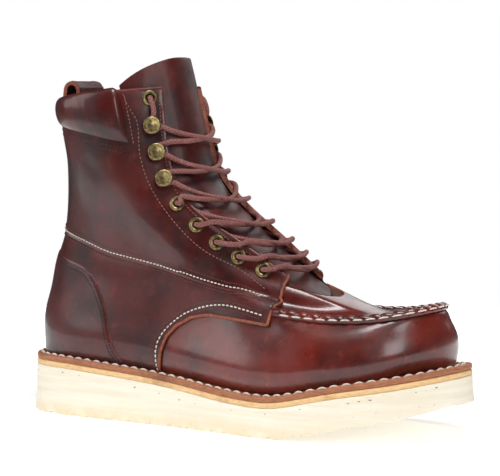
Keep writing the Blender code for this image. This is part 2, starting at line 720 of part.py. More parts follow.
def build_stays(parts, finishes, stays):
    rim, bore = EYELET_DIAMETER / 2, EYELET_BORE / 2
    ring = ((bore, EYELET_HEIGHT), (0.85 * rim, EYELET_HEIGHT), (rim, 0), (bore, 0))
    cap, neck = HOOK_DIAMETER / 2, HOOK_NECK / 2
    under, foot = HOOK_HEIGHT - HOOK_PLATE, HOOK_FOOT * cap
    spool = (
        (0, HOOK_HEIGHT), (0.85 * cap, HOOK_HEIGHT), (cap, under), (neck, under),
        (neck, HOOK_PLATE), (foot, HOOK_PLATE / 2), (foot, 0), (0, 0),
    )
    meshes = {
        "eyelet": turned("eyelet", ring, 12, finishes["brass"], parts),
        "hook": turned("hook", spool, 10, finishes["brass"], parts),
    }
    for side, kind, number, point, normal, _, _ in stays:
        made = bpy.data.objects.new(f"{kind}_{side}_{number}", meshes[kind])
        parts.objects.link(made)
        turn = Vector(normal).to_track_quat("Z", "Y").to_matrix().to_4x4()
        seat = Vector(point - SHIFT + normal * STAY_SEAT)
        made.matrix_world = Matrix.Translation(seat) @ turn


def nearest(line, *ends):
    """Number of the point of a line that makes the shortest way between two ends, or lies nearest to one."""
    return int(sum(np.linalg.norm(line - end, axis=1) for end in ends).argmin())


def lace_routes(stays):
    """The lace's two halves: a bend beside each stay, round the flaps' edges and straight over the tongue."""
    reach = {"eyelet": EYELET_DIAMETER / 2, "hook": HOOK_DIAMETER / 2}
    over = QUARTER_STEP + LACE_DIAMETER / 2 + LACE_EASE
    under = LACE_DIAMETER / 2 + 2 * LACE_EASE - WALL - TONGUE_SLACK
    rings = np.linspace(THROAT_RING - 0.5, TOP_RING, 80)
    throat = np.array([LAST.throat(ring) for ring in rings])
    places = {"lateral": np.c_[throat[:, 0], rings], "medial": np.c_[throat[:, 1], rings]}
    edges = {side: LAST.offset(*place.T, [over] * len(rings)) for side, place in places.items()}
    front = LAST.offset(np.full(len(rings), 0.5), rings, [under] * len(rings))
    bends = {"lateral": [], "medial": []}
    for side, kind, _, point, _, turn, ring in stays:
        k = nearest(edges[side], point)
        low, high = max(k - 2, 0), min(k + 2, len(rings) - 1)
        rise = (places[side][high] - places[side][low]) / np.linalg.norm(edges[side][high] - edges[side][low])
        stay = np.array((turn, ring))
        across = (places[side][k] - stay) / np.linalg.norm(edges[side][k] - point)
        beside = reach[kind] + LACE_DIAMETER / 2 + 3 * CLEARANCE
        here, there = LAST.point(*np.c_[stay, stay + across * beside])
        across *= beside / np.linalg.norm(there - here)
        apex = stay + across * beside
        arm = apex + across * LACE_DIAMETER * LACE_ARM
        half = rise * LACE_DIAMETER * LACE_TURN
        bends[side].append((arm - half, apex, arm + half))

    def lifted(place, height=over):
        return LAST.offset([place[0]], [place[1]], [height])[0]

    def half_bar(side, bend, crown):
        """From a bend over the flap's edge to half way to the middle of the tongue."""
        start = lifted(bend)
        k = nearest(edges[side], start, front[crown])
        between = (places[side][k] + np.array((0.5, rings[crown]))) / 2
        return [start, edges[side][k], lifted(between, under + CLEARANCE)]

    routes = []
    for here, there in (("lateral", "medial"), ("medial", "lateral")):
        route = [lifted(bends[here][0][1])]
        for level in range(len(LACE_STAYS) - 2):
            near, far = (here, there) if level % 2 == 0 else (there, here)
            leave, arrive = bends[near][level][2], bends[far][level + 1][0]
            crown = nearest(front, (lifted(leave) + lifted(arrive)) / 2)
            route += [*half_bar(near, leave, crown), front[crown], *half_bar(far, arrive, crown)[::-1]]
            route.append(lifted(bends[far][level + 1][1]))
        route += [lifted(bends[far][-2][2]), lifted(bends[far][-1][1])]
        routes.append(route)
    return routes


def tube(name, points, diameter, collection):
    """Curve object with a round tube along a run of points."""
    curve = bpy.data.curves.new(name, "CURVE")
    curve.dimensions = "3D"
    curve.bevel_depth = diameter / 2
    curve.bevel_resolution = 2
    curve.use_fill_caps = True
    spline = curve.splines.new("POLY")
    spline.points.add(len(points) - 1)
    for place, point in zip(spline.points, points):
        place.co = (*(point - SHIFT), 1)
    made = bpy.data.objects.new(name, curve)
    collection.objects.link(made)
    return made


def build_laces(parts, cutters, finishes, stays):
    first, second = lace_routes(stays)
    mesh = as_mesh(tube("laces", first, LACE_DIAMETER, parts), "laces")
    laces = add("laces", mesh, finishes["lace"], parts)
    other = as_mesh(tube("lace_other", second, LACE_DIAMETER, cutters), "lace_other")
    boolean(laces, helper("lace_other", other, cutters), "UNION")


def build_pull_loop(parts, finishes):
    """Leather strap folded over the collar at the back."""
    top = LAST.point([0.0], [TOP_RING])[0]
    rim = top[2] + CLEARANCE
    outer_x = top[0] - CUFF_OUT / 2
    radius = LOOP_SPAN / 2
    path = [(outer_x, rim + LOOP_STRAP / 2)]
    middle = (outer_x + radius, rim + LOOP_HEIGHT - radius)
    for angle in np.linspace(math.pi, 0, 7):
        path.append((middle[0] + radius * math.cos(angle), middle[1] + radius * math.sin(angle)))
    path.append((outer_x + LOOP_SPAN + LOOP_LEAN, rim - LOOP_TAIL))
    strip = bmesh.new()
    edges = [[strip.verts.new((x - SHIFT[0], y, z)) for x, z in path] for y in (-LOOP_WIDTH / 2, LOOP_WIDTH / 2)]
    for i in range(len(path) - 1):
        strip.faces.new((edges[0][i], edges[1][i], edges[1][i + 1], edges[0][i + 1]))
    mesh = bpy.data.meshes.new("pull_loop")
    strip.to_mesh(mesh)
    strip.free()
    thickness = add("pull_loop", mesh, finishes["leather"], parts).modifiers.new("strap", "SOLIDIFY")
    thickness.thickness = LOOP_STRAP
    thickness.offset = 0
    thickness.use_even_offset = True


def main():
    for old in list(bpy.data.objects):
        bpy.data.objects.remove(old)
    parts = bpy.data.collections.new("wedge_sole_work_boot")
    cutters = bpy.data.collections.new("cutters")
    for collection in (parts, cutters):
        bpy.context.scene.collection.children.link(collection)
    finishes = {
        "rubber": material("cream_rubber", (0.83, 0.76, 0.62), 0.75),
        "midsole": material("natural_leather", (0.72, 0.50, 0.30), 0.6),
        "welt": material("welt_leather", (0.55, 0.24, 0.10), 0.55),
        "insole": material("insole_leather", (0.62, 0.45, 0.30), 0.7),
        "leather": material("burgundy_leather", (0.16, 0.022, 0.016), 0.35),
        "brass": material("antique_brass", (0.33, 0.24, 0.10), 0.4, 1.0),
        "lace": material("brown_lace", (0.22, 0.08, 0.07), 0.85),
    }
    build_sole(parts, cutters, finishes)
    build_upper(parts, cutters, finishes)
    build_tongue(parts, finishes)
    stays = stay_frames()
    build_stays(parts, finishes, stays)
    build_laces(parts, cutters, finishes, stays)
    build_pull_loop(parts, finishes)


main()
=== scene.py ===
"""Looks of the wedge sole work boot: panels, seams, laces, sole, materials, studio light and camera."""
import math

import bmesh
import bpy
import numpy as np
from mathutils import Matrix, Vector
from mathutils.kdtree import KDTree


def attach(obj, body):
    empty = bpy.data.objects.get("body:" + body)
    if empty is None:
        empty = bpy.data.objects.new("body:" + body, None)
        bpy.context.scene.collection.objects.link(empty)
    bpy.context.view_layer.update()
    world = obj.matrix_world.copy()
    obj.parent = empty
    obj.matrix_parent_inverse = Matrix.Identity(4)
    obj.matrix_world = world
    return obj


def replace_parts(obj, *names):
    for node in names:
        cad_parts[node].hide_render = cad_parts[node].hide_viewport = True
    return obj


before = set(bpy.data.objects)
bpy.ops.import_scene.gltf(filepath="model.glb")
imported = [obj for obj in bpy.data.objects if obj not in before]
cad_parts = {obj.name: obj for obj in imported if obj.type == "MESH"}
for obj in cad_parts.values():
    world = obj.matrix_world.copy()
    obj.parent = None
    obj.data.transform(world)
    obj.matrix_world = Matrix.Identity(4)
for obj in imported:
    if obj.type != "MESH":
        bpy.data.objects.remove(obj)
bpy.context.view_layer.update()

# Driving dimensions
LENGTH = 0.302
BALL_WIDTH = 0.112
SHAFT_WIDTH = 0.084
COLLAR_HEIGHT = 0.201
HEEL_THICKNESS = 0.0300
FOREFOOT_THICKNESS = 0.0180
TOE_SPRING = 0.0215
MIDSOLE_THICKNESS = 0.0032
WELT_THICKNESS = 0.0034
WELT_WIDTH = 0.0082
WELT_TOE_EXTRA = 0.0036
SOLE_TUCK = 0.0010
EDGE_STEP = 0.0004
CLEARANCE = 0.0003

WALL = 0.0020
QUARTER_STEP = 0.0014
SEAM_RISE = 0.0016
PLUG_DROP = 0.0024
CUFF_OUT = 0.0034
CUFF_IN = 0.0030
THROAT_GAP = 0.0450

TONGUE_THICKNESS = 0.0024
TONGUE_RISE = 0.0180
TONGUE_SLACK = 0.0005
TONGUE_ROOT_REACH = 0.100
TONGUE_TOP_REACH = 0.185

LACE_DIAMETER = 0.0034
STAY_SEAT = 0.0009
EYELET_DIAMETER = 0.0098
EYELET_BORE = 0.0050
HOOK_DIAMETER = 0.0110
HOOK_NECK = 0.0040
HOOK_FOOT = 0.8

LOOP_WIDTH = 0.0280
LOOP_STRAP = 0.0020
LOOP_SPAN = 0.0100
LOOP_HEIGHT = 0.0110
LOOP_TAIL = 0.0140
LOOP_LEAN = 0.0010


# Sole outline: (x as a share of LENGTH, lateral and medial half width as shares of BALL_WIDTH)
SOLE_OUTLINE = (
    (0.000, 0.000, 0.000),
    (0.020, 0.196, 0.196),
    (0.060, 0.286, 0.281),
    (0.120, 0.335, 0.330),
    (0.200, 0.362, 0.348),
    (0.350, 0.388, 0.330),
    (0.500, 0.442, 0.353),
    (0.620, 0.491, 0.420),
    (0.715, 0.509, 0.480),
    (0.800, 0.478, 0.487),
    (0.880, 0.393, 0.446),
    (0.945, 0.259, 0.366),
    (0.985, 0.080, 0.223),
    (1.000, -0.071, 0.071),
)
# Share of LENGTH that stands flat on the floor
SOLE_FLAT = 0.66
# Underside: (share of LENGTH, share of TOE_SPRING)
SOLE_BOTTOM = (
    (0.00, 0.00), (0.60, 0.00), (SOLE_FLAT, 0.00), (0.73, 0.16),
    (0.81, 0.40), (0.89, 0.63), (0.95, 0.83), (1.00, 1.00),
)
# Outsole thickness: (share of LENGTH, share of the way from forefoot to heel thickness)
SOLE_WEDGE = (
    (0.00, 1.02), (0.12, 0.94), (0.23, 0.76), (0.33, 0.57), (0.44, 0.31), (0.53, 0.08),
    (0.60, 0.00), (0.70, 0.05), (0.80, 0.06), (0.90, -0.04), (1.00, -0.16),
)
# Centre line of the last: (share of LENGTH, sideways share of BALL_WIDTH, medial is positive)
SWING = (
    (0.00, 0.0), (0.20, -0.007), (0.35, -0.029), (0.50, -0.045), (0.62, -0.036),
    (0.72, -0.011), (0.80, 0.006), (0.88, 0.028), (0.945, 0.054), (1.00, 0.071),
)
# Dip of a ring between heel and toe: (share of the way along the ring, share of the ring's dip)
DIP = ((0.0, 0.0), (0.50, 0.08), (0.66, 0.40), (0.83, 1.0), (0.94, 0.50), (1.0, 0.0))
# Places along a ring, from its back to its front, where the table below gives half widths
STATIONS = (0.03, 0.12, 0.28, 0.46, 0.64, 0.80, 0.92, 0.98)
# Rings of the last above the featherline. Columns: back and front (shares of LENGTH), rise at the back and
# at the front (shares of the collar's rise), follow (how far the ring copies the sole's curve), dip (share of
# the collar's rise), swing, shaft (0 for widths in BALL_WIDTH, 1 in SHAFT_WIDTH), then the half widths
RINGS = (
    (0.024, 0.964, 0.059, 0.055, 0.92, -0.006, 1.00, 0.0,
     0.183, 0.290, 0.317, 0.339, 0.424, 0.442, 0.339, 0.188),
    (0.024, 0.962, 0.152, 0.125, 0.78, -0.019, 0.95, 0.0,
     0.179, 0.281, 0.312, 0.330, 0.411, 0.424, 0.321, 0.179),
    (0.040, 0.950, 0.257, 0.189, 0.60, -0.031, 0.90, 0.0,
     0.174, 0.268, 0.295, 0.312, 0.375, 0.379, 0.286, 0.161),
    (0.051, 0.937, 0.350, 0.231, 0.40, -0.041, 0.80, 0.0,
     0.170, 0.259, 0.281, 0.299, 0.326, 0.299, 0.241, 0.143),
    (0.071, 0.868, 0.449, 0.227, 0.22, -0.025, 0.70, 0.2,
     0.179, 0.273, 0.296, 0.305, 0.291, 0.235, 0.169, 0.099),
    (0.088, 0.762, 0.548, 0.254, 0.10, -0.006, 0.60, 0.4,
     0.198, 0.298, 0.327, 0.327, 0.307, 0.256, 0.193, 0.129),
    (0.094, 0.672, 0.635, 0.325, 0.03, 0.000, 0.45, 0.6,
     0.210, 0.326, 0.368, 0.368, 0.326, 0.270, 0.231, 0.162),
    (0.098, 0.570, 0.721, 0.455, 0.00, 0.000, 0.30, 0.8,
     0.223, 0.357, 0.413, 0.418, 0.369, 0.305, 0.262, 0.176),
    (0.099, 0.487, 0.802, 0.579, 0.00, 0.000, 0.15, 1.0,
     0.238, 0.393, 0.458, 0.470, 0.419, 0.333, 0.274, 0.181),
    (0.094, 0.427, 0.876, 0.715, 0.00, 0.000, 0.00, 1.0,
     0.238, 0.393, 0.470, 0.488, 0.442, 0.339, 0.256, 0.163),
    (0.091, 0.401, 0.944, 0.882, 0.00, 0.000, 0.00, 1.0,
     0.238, 0.399, 0.482, 0.500, 0.454, 0.339, 0.238, 0.151),
    (0.088, 0.377, 1.000, 1.062, 0.00, 0.000, 0.00, 1.0,
     0.238, 0.405, 0.494, 0.512, 0.460, 0.345, 0.232, 0.145),
)
SEAM_RING = 4.0
THROAT_RING = 7.0
CUFF_RING = 10.55
TOP_RING = 12.0
# Half gaps of the throat: (ring, lateral and medial as shares of THROAT_GAP)
THROAT = (
    (0.0, 0.42, 0.45),
    (6.0, 0.42, 0.45),
    (7.2, 0.42, 0.46),
    (8.0, 0.50, 0.50),
    (8.8, 0.56, 0.52),
    (10.0, 0.54, 0.53),
    (11.0, 0.51, 0.53),
    (12.0, 0.46, 0.54),
)
# Where the lace holds, from the lowest eyelet up: (share of LENGTH, share of COLLAR_HEIGHT, kind)
LACE_STAYS = (
    (0.596, 0.487, "eyelet"),
    (0.543, 0.526, "eyelet"),
    (0.494, 0.567, "eyelet"),
    (0.448, 0.618, "eyelet"),
    (0.402, 0.681, "eyelet"),
    (0.368, 0.753, "hook"),
    (0.347, 0.839, "hook"),
    (0.335, 0.922, "hook"),
    (0.328, 1.008, "eyelet"),
)

OUTLINE_STEPS = 720
PLATE_STATIONS = 38


def cubic(knots, values, at, closed=False):
    """Cubic spline through values at knots. A closed one repeats its first value at the last knot."""
    knots = np.asarray(knots, float)
    values = np.asarray(values, float)
    at = np.asarray(at, float)
    last = len(knots) - 1
    flat = values.reshape(last + 1, -1)
    step = np.diff(knots)
    slope = np.diff(flat, axis=0) / step[:, None]
    system = np.eye(last + 1)
    right = np.zeros_like(flat)
    for i in range(1, last):
        system[i, i - 1 : i + 2] = step[i - 1], 2 * (step[i - 1] + step[i]), step[i]
        right[i] = 6 * (slope[i] - slope[i - 1])
    if closed:
        system[0] = 0
        system[0, 0] = 2 * (step[0] + step[-1])
        system[0, 1] = step[0]
        system[0, last - 1] = step[-1]
        right[0] = 6 * (slope[0] - slope[-1])
        system[last, 0] = -1
    bend = np.linalg.solve(system, right)
    i = np.clip(np.searchsorted(knots, at, side="right") - 1, 0, last - 1)
    run = (at - knots[i])[:, None]
    wide = step[i][:, None]
    first = flat[i]
    rate = (flat[i + 1] - first) / wide - wide * (2 * bend[i] + bend[i + 1]) / 6
    curve = first + run * rate + run**2 * bend[i] / 2 + run**3 * (bend[i + 1] - bend[i]) / (6 * wide)
    return curve.reshape((len(at),) + values.shape[1:])


def along(table, share, column=1):
    """Value of one column of a table at each share of its first column."""
    rows = np.array([[row[0], row[column]] for row in table])
    share = np.atleast_1d(np.clip(share, rows[0, 0], rows[-1, 0]))
    return cubic(rows[:, 0], rows[:, 1], share)


def smooth(low, high, at):
    """0 below low, 1 above high, and a soft step between."""
    share = np.clip((np.asarray(at, float) - low) / (high - low), 0, 1)
    return share * share * (3 - 2 * share)


def outline(inset):
    """Closed outline of the sole in plan, from the heel over the lateral side, set in by inset."""
    rows = np.array(SOLE_OUTLINE)
    lateral = np.c_[rows[:, 0] * LENGTH, -rows[:, 1] * BALL_WIDTH]
    medial = np.c_[rows[:, 0] * LENGTH, rows[:, 2] * BALL_WIDTH][-2:0:-1]
    corners = np.concatenate([lateral, medial, lateral[:1]])
    knots = np.r_[0, np.cumsum(np.linalg.norm(np.diff(corners, axis=0), axis=1))]
    at = np.linspace(0, knots[-1], OUTLINE_STEPS + 1)[:-1]
    points = cubic(knots, corners, at, closed=True)
    ahead = np.roll(points, -1, axis=0) - np.roll(points, 1, axis=0)
    inward = np.c_[-ahead[:, 1], ahead[:, 0]] / np.linalg.norm(ahead, axis=1)[:, None]
    toe = smooth(0.80, 1.0, points[:, 0] / LENGTH) * smooth(SOLE_TUCK, WELT_WIDTH, inset)
    return points + inward * (inset + WELT_TOE_EXTRA * toe)[:, None]


def sides(inset, shares=None):
    """x, lateral y and medial y of the inset outline at shares of its own length."""
    points = outline(inset)
    toe = int(points[:, 0].argmax())
    heel = int(points[:, 0].argmin())
    points = np.roll(points, -heel, axis=0)
    toe = (toe - heel) % len(points)
    lateral = points[: toe + 1]
    medial = np.concatenate([points[toe:], points[:1]])[::-1]
    if shares is None:
        shares = 0.5 - 0.5 * np.cos(np.linspace(0, math.pi, PLATE_STATIONS + 1))
    x = lateral[0, 0] + np.asarray(shares) * (lateral[-1, 0] - lateral[0, 0])
    return x, np.interp(x, lateral[:, 0], lateral[:, 1]), np.interp(x, medial[:, 0], medial[:, 1])


def sole_bottom(x):
    return along(SOLE_BOTTOM, x / LENGTH) * TOE_SPRING * (np.asarray(x) / LENGTH > SOLE_FLAT)


def sole_top(x):
    wedge = FOREFOOT_THICKNESS + (HEEL_THICKNESS - FOREFOOT_THICKNESS) * along(SOLE_WEDGE, x / LENGTH)
    return along(SOLE_BOTTOM, x / LENGTH) * TOE_SPRING + wedge


def midsole_bottom(x):
    return sole_top(x) + CLEARANCE


def midsole_top(x):
    return midsole_bottom(x) + MIDSOLE_THICKNESS


def welt_bottom(x):
    return midsole_top(x) + CLEARANCE


def welt_top(x):
    return welt_bottom(x) + WELT_THICKNESS


def featherline(x):
    """Height at which the upper stands on the welt."""
    return welt_top(x) + CLEARANCE


def collar_rise():
    return COLLAR_HEIGHT - featherline(np.zeros(1))[0]


def ring_table():
    """Points of every ring of the last, ring by ring, round from the back over the lateral side."""
    stations = np.r_[0, STATIONS, 1]
    x, lateral, medial = sides(WELT_WIDTH, stations)
    low = np.c_[np.r_[x, x[-2::-1]], np.r_[lateral, medial[-2::-1]], np.zeros(2 * len(x) - 1)]
    low[:, 2] = featherline(low[:, 0])
    rings = [low]
    rise = collar_rise()
    heel = featherline(np.zeros(1))[0]
    for back, front, back_rise, front_rise, follow, dip, swing, shaft, *halves in RINGS:
        unit = BALL_WIDTH * (1 - shaft) + SHAFT_WIDTH * shaft
        half = np.r_[0, np.array(halves) * unit, 0]
        x = (back + stations * (front - back)) * LENGTH
        middle = along(SWING, x / LENGTH) * BALL_WIDTH * swing
        z = follow * featherline(x) + (1 - follow) * heel
        z = z + rise * (back_rise + (front_rise - back_rise) * stations + dip * along(DIP, stations))
        lateral = np.c_[x, middle - half, z]
        medial = np.c_[x, middle + half, z]
        rings.append(np.concatenate([lateral, medial[-2::-1]]))
    return np.array(rings)


class Last:
    """Outer surface of the upper: round is 0 at the heel and 0.5 at the toe, ring is 12 at the top."""

    def __init__(self):
        rings = ring_table()
        chord = np.linalg.norm(np.diff(rings, axis=1), axis=2).mean(axis=0)
        self.round_knots = np.r_[0, np.cumsum(chord)] / chord.sum()
        rise = np.linalg.norm(np.diff(rings, axis=0), axis=2).mean(axis=1)
        self.ring_knots = np.r_[0, np.cumsum(rise)]
        self.rings = np.swapaxes(rings, 0, 1)

    def point(self, turn, ring):
        """Points at equally long arrays of places and ring numbers. Past the top it runs straight on."""
        turn = np.asarray(turn, float)
        ring = np.asarray(ring, float)
        columns = cubic(self.round_knots, self.rings, turn, closed=True)
        knots = self.ring_knots
        numbers = np.arange(len(knots))
        over = np.maximum(ring - TOP_RING, 0) * (knots[-1] - knots[-2])
        at = np.interp(ring, numbers, knots)
        system = splines(knots)
        bends = np.einsum("ij,kjc->kic", system, columns)
        step = np.diff(knots)
        i = np.clip(np.searchsorted(knots, at, side="right") - 1, 0, len(step) - 1)
        k = np.arange(len(turn))
        run = (at - knots[i])[:, None]
        wide = step[i][:, None]
        first = columns[k, i]
        rate = (columns[k, i + 1] - first) / wide - wide * (2 * bends[k, i] + bends[k, i + 1]) / 6
        found = first + run * rate + run**2 * bends[k, i] / 2
        found = found + run**3 * (bends[k, i + 1] - bends[k, i]) / (6 * wide)
        end = (columns[k, -1] - columns[k, -2]) / step[-1] + step[-1] * bends[k, -2] / 6
        return found + over[:, None] * end

    def frame(self, turn, ring):
        """Points and outward normals."""
        turn = np.asarray(turn, float)
        ring = np.asarray(ring, float)
        small = 1e-3
        round_way = self.point((turn + small) % 1, ring) - self.point((turn - small) % 1, ring)
        above = self.point(turn, ring + 10 * small)
        below = self.point(turn, np.maximum(ring - 10 * small, 0))
        normal = np.cross(round_way, above - below)
        return self.point(turn, ring), normal / np.linalg.norm(normal, axis=1)[:, None]

    def offset(self, turn, ring, distance):
        points, normals = self.frame(turn, ring)
        return points + normals * np.asarray(distance, float)[:, None]

    def throat(self, ring, grow=0.0):
        """Places round of the two throat edges at a ring number."""
        found = []
        for low, high, column in ((0.25, 0.5, 1), (0.75, 0.5, 2)):
            gap = along(THROAT, ring, column)[0] * THROAT_GAP + grow
            turns = np.linspace(high, low, 90)
            points = self.point(turns, np.full(90, ring))
            reach = np.abs(points[:, 1] - points[0, 1])
            stop = int(reach.argmax()) + 1
            found.append(float(np.interp(gap, reach[:stop], turns[:stop])))
        return found

    def at_side(self, x, z, medial=False):
        """Place round and ring number of the point seen at x, z from one side."""
        turns = 1 - np.linspace(0.02, 0.48, 47) if medial else np.linspace(0.02, 0.48, 47)
        levels = np.linspace(0, TOP_RING, 97)
        grid = np.meshgrid(turns, levels)
        turn, ring = grid[0].ravel(), grid[1].ravel()
        for width in (0.01, 0.001, 0.0001):
            points = self.point(turn, ring)
            best = int(np.hypot(points[:, 0] - x, points[:, 2] - z).argmin())
            near = np.meshgrid(
                turn[best] + np.linspace(-width, width, 21), ring[best] + np.linspace(-width, width, 21) * 12
            )
            turn, ring = near[0].ravel(), np.clip(near[1].ravel(), 0, TOP_RING)
        points = self.point(turn, ring)
        best = int(np.hypot(points[:, 0] - x, points[:, 2] - z).argmin())
        return float(turn[best]), float(ring[best])


def splines(knots):
    """Matrix that gives the bends of a cubic spline from its values at the knots."""
    step = np.diff(knots)
    count = len(knots)
    left = np.eye(count)
    right = np.zeros((count, count))
    for i in range(1, count - 1):
        left[i, i - 1 : i + 2] = step[i - 1], 2 * (step[i - 1] + step[i]), step[i]
        right[i, i - 1 : i + 2] = 6 / step[i - 1], -6 / step[i - 1] - 6 / step[i], 6 / step[i]
    return np.linalg.solve(left, right)


LAST = Last()
CENTRE = outline(0.0)
CENTRE = (CENTRE.max(axis=0) + CENTRE.min(axis=0)) / 2
SHIFT = np.array([CENTRE[0], CENTRE[1], 0.0])


def cuff(x, ring):
    """How much of the padded collar is there, from 0 to 1."""
    swell = np.sin(math.pi * np.clip((ring - CUFF_RING) / (TOP_RING + 0.25 - CUFF_RING), 0, 1)) ** 0.6
    front = 1 - smooth(0.27 * LENGTH, 0.32 * LENGTH, x)
    return swell * front


def seam_relief(x, ring):
    """Height of the moccasin seam over the last, and of the plug that it frames."""
    ridge = SEAM_RISE * np.exp(-(((ring - SEAM_RING) / 0.16) ** 2))
    sunk = smooth(SEAM_RING, SEAM_RING + 0.25, ring) * (1 - smooth(SEAM_RING + 0.3, SEAM_RING + 2.2, ring))
    return (ridge - PLUG_DROP * sunk) * smooth(0.60 * LENGTH, 0.66 * LENGTH, x)


def off_last(turn, ring, distance):
    """Points at a distance over the last that depends on their x, and never below the featherline."""
    turn, ring = np.asarray(turn, float), np.asarray(ring, float)
    x = LAST.point(turn, ring)[:, 0]
    points = LAST.offset(turn, ring, seam_relief(x, ring) + distance(x, ring))
    points[:, 2] = np.maximum(points[:, 2], featherline(points[:, 0]) + CLEARANCE / 2)
    return points


def outer(turn, ring, extra=0.0):
    return off_last(turn, ring, lambda x, ring: CUFF_OUT * cuff(x, ring) + extra)


def tongue_point(across, ring):
    """Place round and depth of the tongue's outer face. across runs from -1, lateral, to 1, medial."""
    reach = TONGUE_ROOT_REACH + (TONGUE_TOP_REACH - TONGUE_ROOT_REACH) * smooth(6.5, 11.0, ring)
    turn = 0.5 + across * reach
    x = LAST.point(turn, ring)[:, 0]
    depth = WALL + CUFF_IN * cuff(x, np.minimum(ring, TOP_RING)) + TONGUE_SLACK
    return turn, depth


def stay_frames():
    """For each stay and side: its side, kind, number, seat, normal, place round and ring number."""
    found = []
    angles = np.tile(np.linspace(0, 2 * math.pi, 13)[:-1], 3)
    spans = {"eyelet": (EYELET_BORE / 2, EYELET_DIAMETER / 2), "hook": (0, HOOK_FOOT * HOOK_DIAMETER / 2)}
    for side in ("lateral", "medial"):
        count = {"eyelet": 0, "hook": 0}
        for x, z, kind in LACE_STAYS:
            count[kind] += 1
            turn, ring = LAST.at_side(x * LENGTH, z * COLLAR_HEIGHT, side == "medial")
            step = 1e-3
            round_rate = np.linalg.norm(np.diff(LAST.point([turn, turn + step], [ring, ring]), axis=0)) / step
            ring_rate = np.linalg.norm(np.diff(LAST.point([turn, turn], [ring, ring + step]), axis=0)) / step
            radii = np.repeat(np.linspace(*spans[kind], 3), 12)
            turns = turn + radii * np.cos(angles) / round_rate
            rings = np.minimum(ring + radii * np.sin(angles) / ring_rate, TOP_RING)
            under = outer(turns, rings, QUARTER_STEP)
            point = outer([turn], [ring], QUARTER_STEP)[0]
            rim = under[-12:]
            normal = np.cross(rim[0] - rim[6], rim[3] - rim[9])
            normal *= np.sign(normal @ LAST.frame([turn], [ring])[1][0]) / np.linalg.norm(normal)
            height = float(((under - point) @ normal).max())
            found.append((side, kind, count[kind], point + normal * height, normal, turn, ring))
    return found


MM = 0.001
PHOTO_WIDTH = 500
EDGE_ROUND = 0.5 * MM

# Front edge of the quarters on the last: (place round, ring)
QUARTER_FRONT = (
    (0.192, -0.2), (0.195, 0.08), (0.200, 1.26), (0.206, 1.96), (0.215, 2.44), (0.231, 2.91), (0.251, 3.18),
    (0.275, 3.25), (0.300, 3.29), (0.318, 3.29),
)
FLAP_FOOT = (0.456, 7.09)
# Seams as seen from the side: (x, z) in millimetres from the heel and the floor
YOKE_SEAM = (
    (20, 119), (43, 113), (54, 110), (69, 105), (84, 102), (107, 98), (129, 93), (150, 88), (171, 84),
    (188, 80),
)
ARC_SEAM = ((111, 33), (111, 44), (113, 53), (120, 62), (131, 70), (145, 75), (160, 77), (174, 75), (188, 72))
COUNTER_SEAM = ((26, 103), (40, 98), (49, 96), (59, 89), (66, 79), (71, 69), (75, 54), (81, 41), (84, 37))
STAY_SEAM = (
    (85, 206), (90, 195), (93, 190), (95, 177), (98, 161), (106, 145), (117, 131), (131, 117), (145, 107),
    (163, 99), (177, 91), (185, 86),
)
CUFF_END = 0.318
CUFF_SECTION = np.array((
    (10.50, 0.6), (10.56, 2.2), (10.75, 3.9), (11.10, 4.9), (11.50, 4.9), (11.85, 3.9), (12.05, 2.0),
    (12.10, -0.4), (12.02, -2.8), (11.75, -4.5), (11.35, -5.2), (10.90, -4.8), (10.60, -3.4), (10.48, -2.1),
))
# Soft troughs and ridges: side, x, z of both ends (mm), depth (mm, negative is a trough), width (mm)
CREASES = (
    (1, 92, 118, 112, 100, -0.7, 9.0), (1, 100, 128, 124, 112, 0.5, 7.0), (1, 60, 135, 84, 122, -0.5, 12.0),
    (1, 118, 70, 150, 62, -0.5, 12.0), (1, 66, 160, 80, 178, -0.6, 14.0), (1, 186, 66, 204, 52, -0.5, 8.0),
    (1, 206, 66, 226, 54, 0.4, 9.0), (1, 98, 180, 104, 192, -0.5, 4.0), (1, 108, 164, 116, 152, -0.4, 4.0),
    (-1, 92, 120, 114, 104, -0.7, 9.0), (-1, 60, 140, 84, 126, -0.5, 12.0),
    (-1, 120, 72, 150, 62, -0.5, 12.0),
    (-1, 188, 66, 206, 52, -0.5, 8.0), (-1, 100, 180, 106, 192, -0.4, 4.0),
)
# Marks on the outsole's side: (x in mm from the heel, mm under its top, length, height)
SOLE_MARKS = (
    (12, 4.0, 1.6, 1.0), (38, 2.5, 3.4, 0.8), (52, 2.6, 1.2, 0.8), (96, 4.0, 2.0, 1.0), (115, 4.5, 1.2, 0.8),
    (131, 5.5, 3.2, 1.0), (172, 3.5, 1.4, 0.8), (197, 3.0, 1.4, 0.8), (221, 2.5, 1.5, 0.9),
    (250, 3.5, 2.4, 1.0), (256, 3.2, 2.0, 1.0), (262, 3.2, 3.0, 1.0), (284, 3.0, 1.6, 0.8),
    (288, 3.0, 1.4, 0.8), (292, 2.6, 2.6, 1.2),
)
# Distances to an edge or a seam are kept up to this many millimetres
FAR = 9.0
# Rounded edge of a panel: outwards and down (in edge radii, None is down to the base), material slot
EDGE_PROFILE = ((0.7, 0.3, 0), (1.0, 1.0, 1), (0.6, None, 1))
# Heights of the panels over the last, and where their edges end under its surface
LOWER, SHAFT_HEIGHT, COUNTER = 1.2 * MM, 1.75 * MM, 1.9 * MM
PANEL_BASE = -0.9 * WALL
# Lift of the flaps beside the throat: metres for one turn round the shaft, and how far in it reaches
SHAFT_GIRTH, FLAP_REACH = 0.42, 8 * MM
# Back of the toe plug: seen from the side in millimetres, then on the last
PLUG_BACK = ((211, 79), (205, 84), (199.6, 87.5))
PLUG_NEAR = ((0.5, 6.38), (0.46, 6.48), (0.40, 6.5), (0.34, 6.4), (0.28, 6.0))
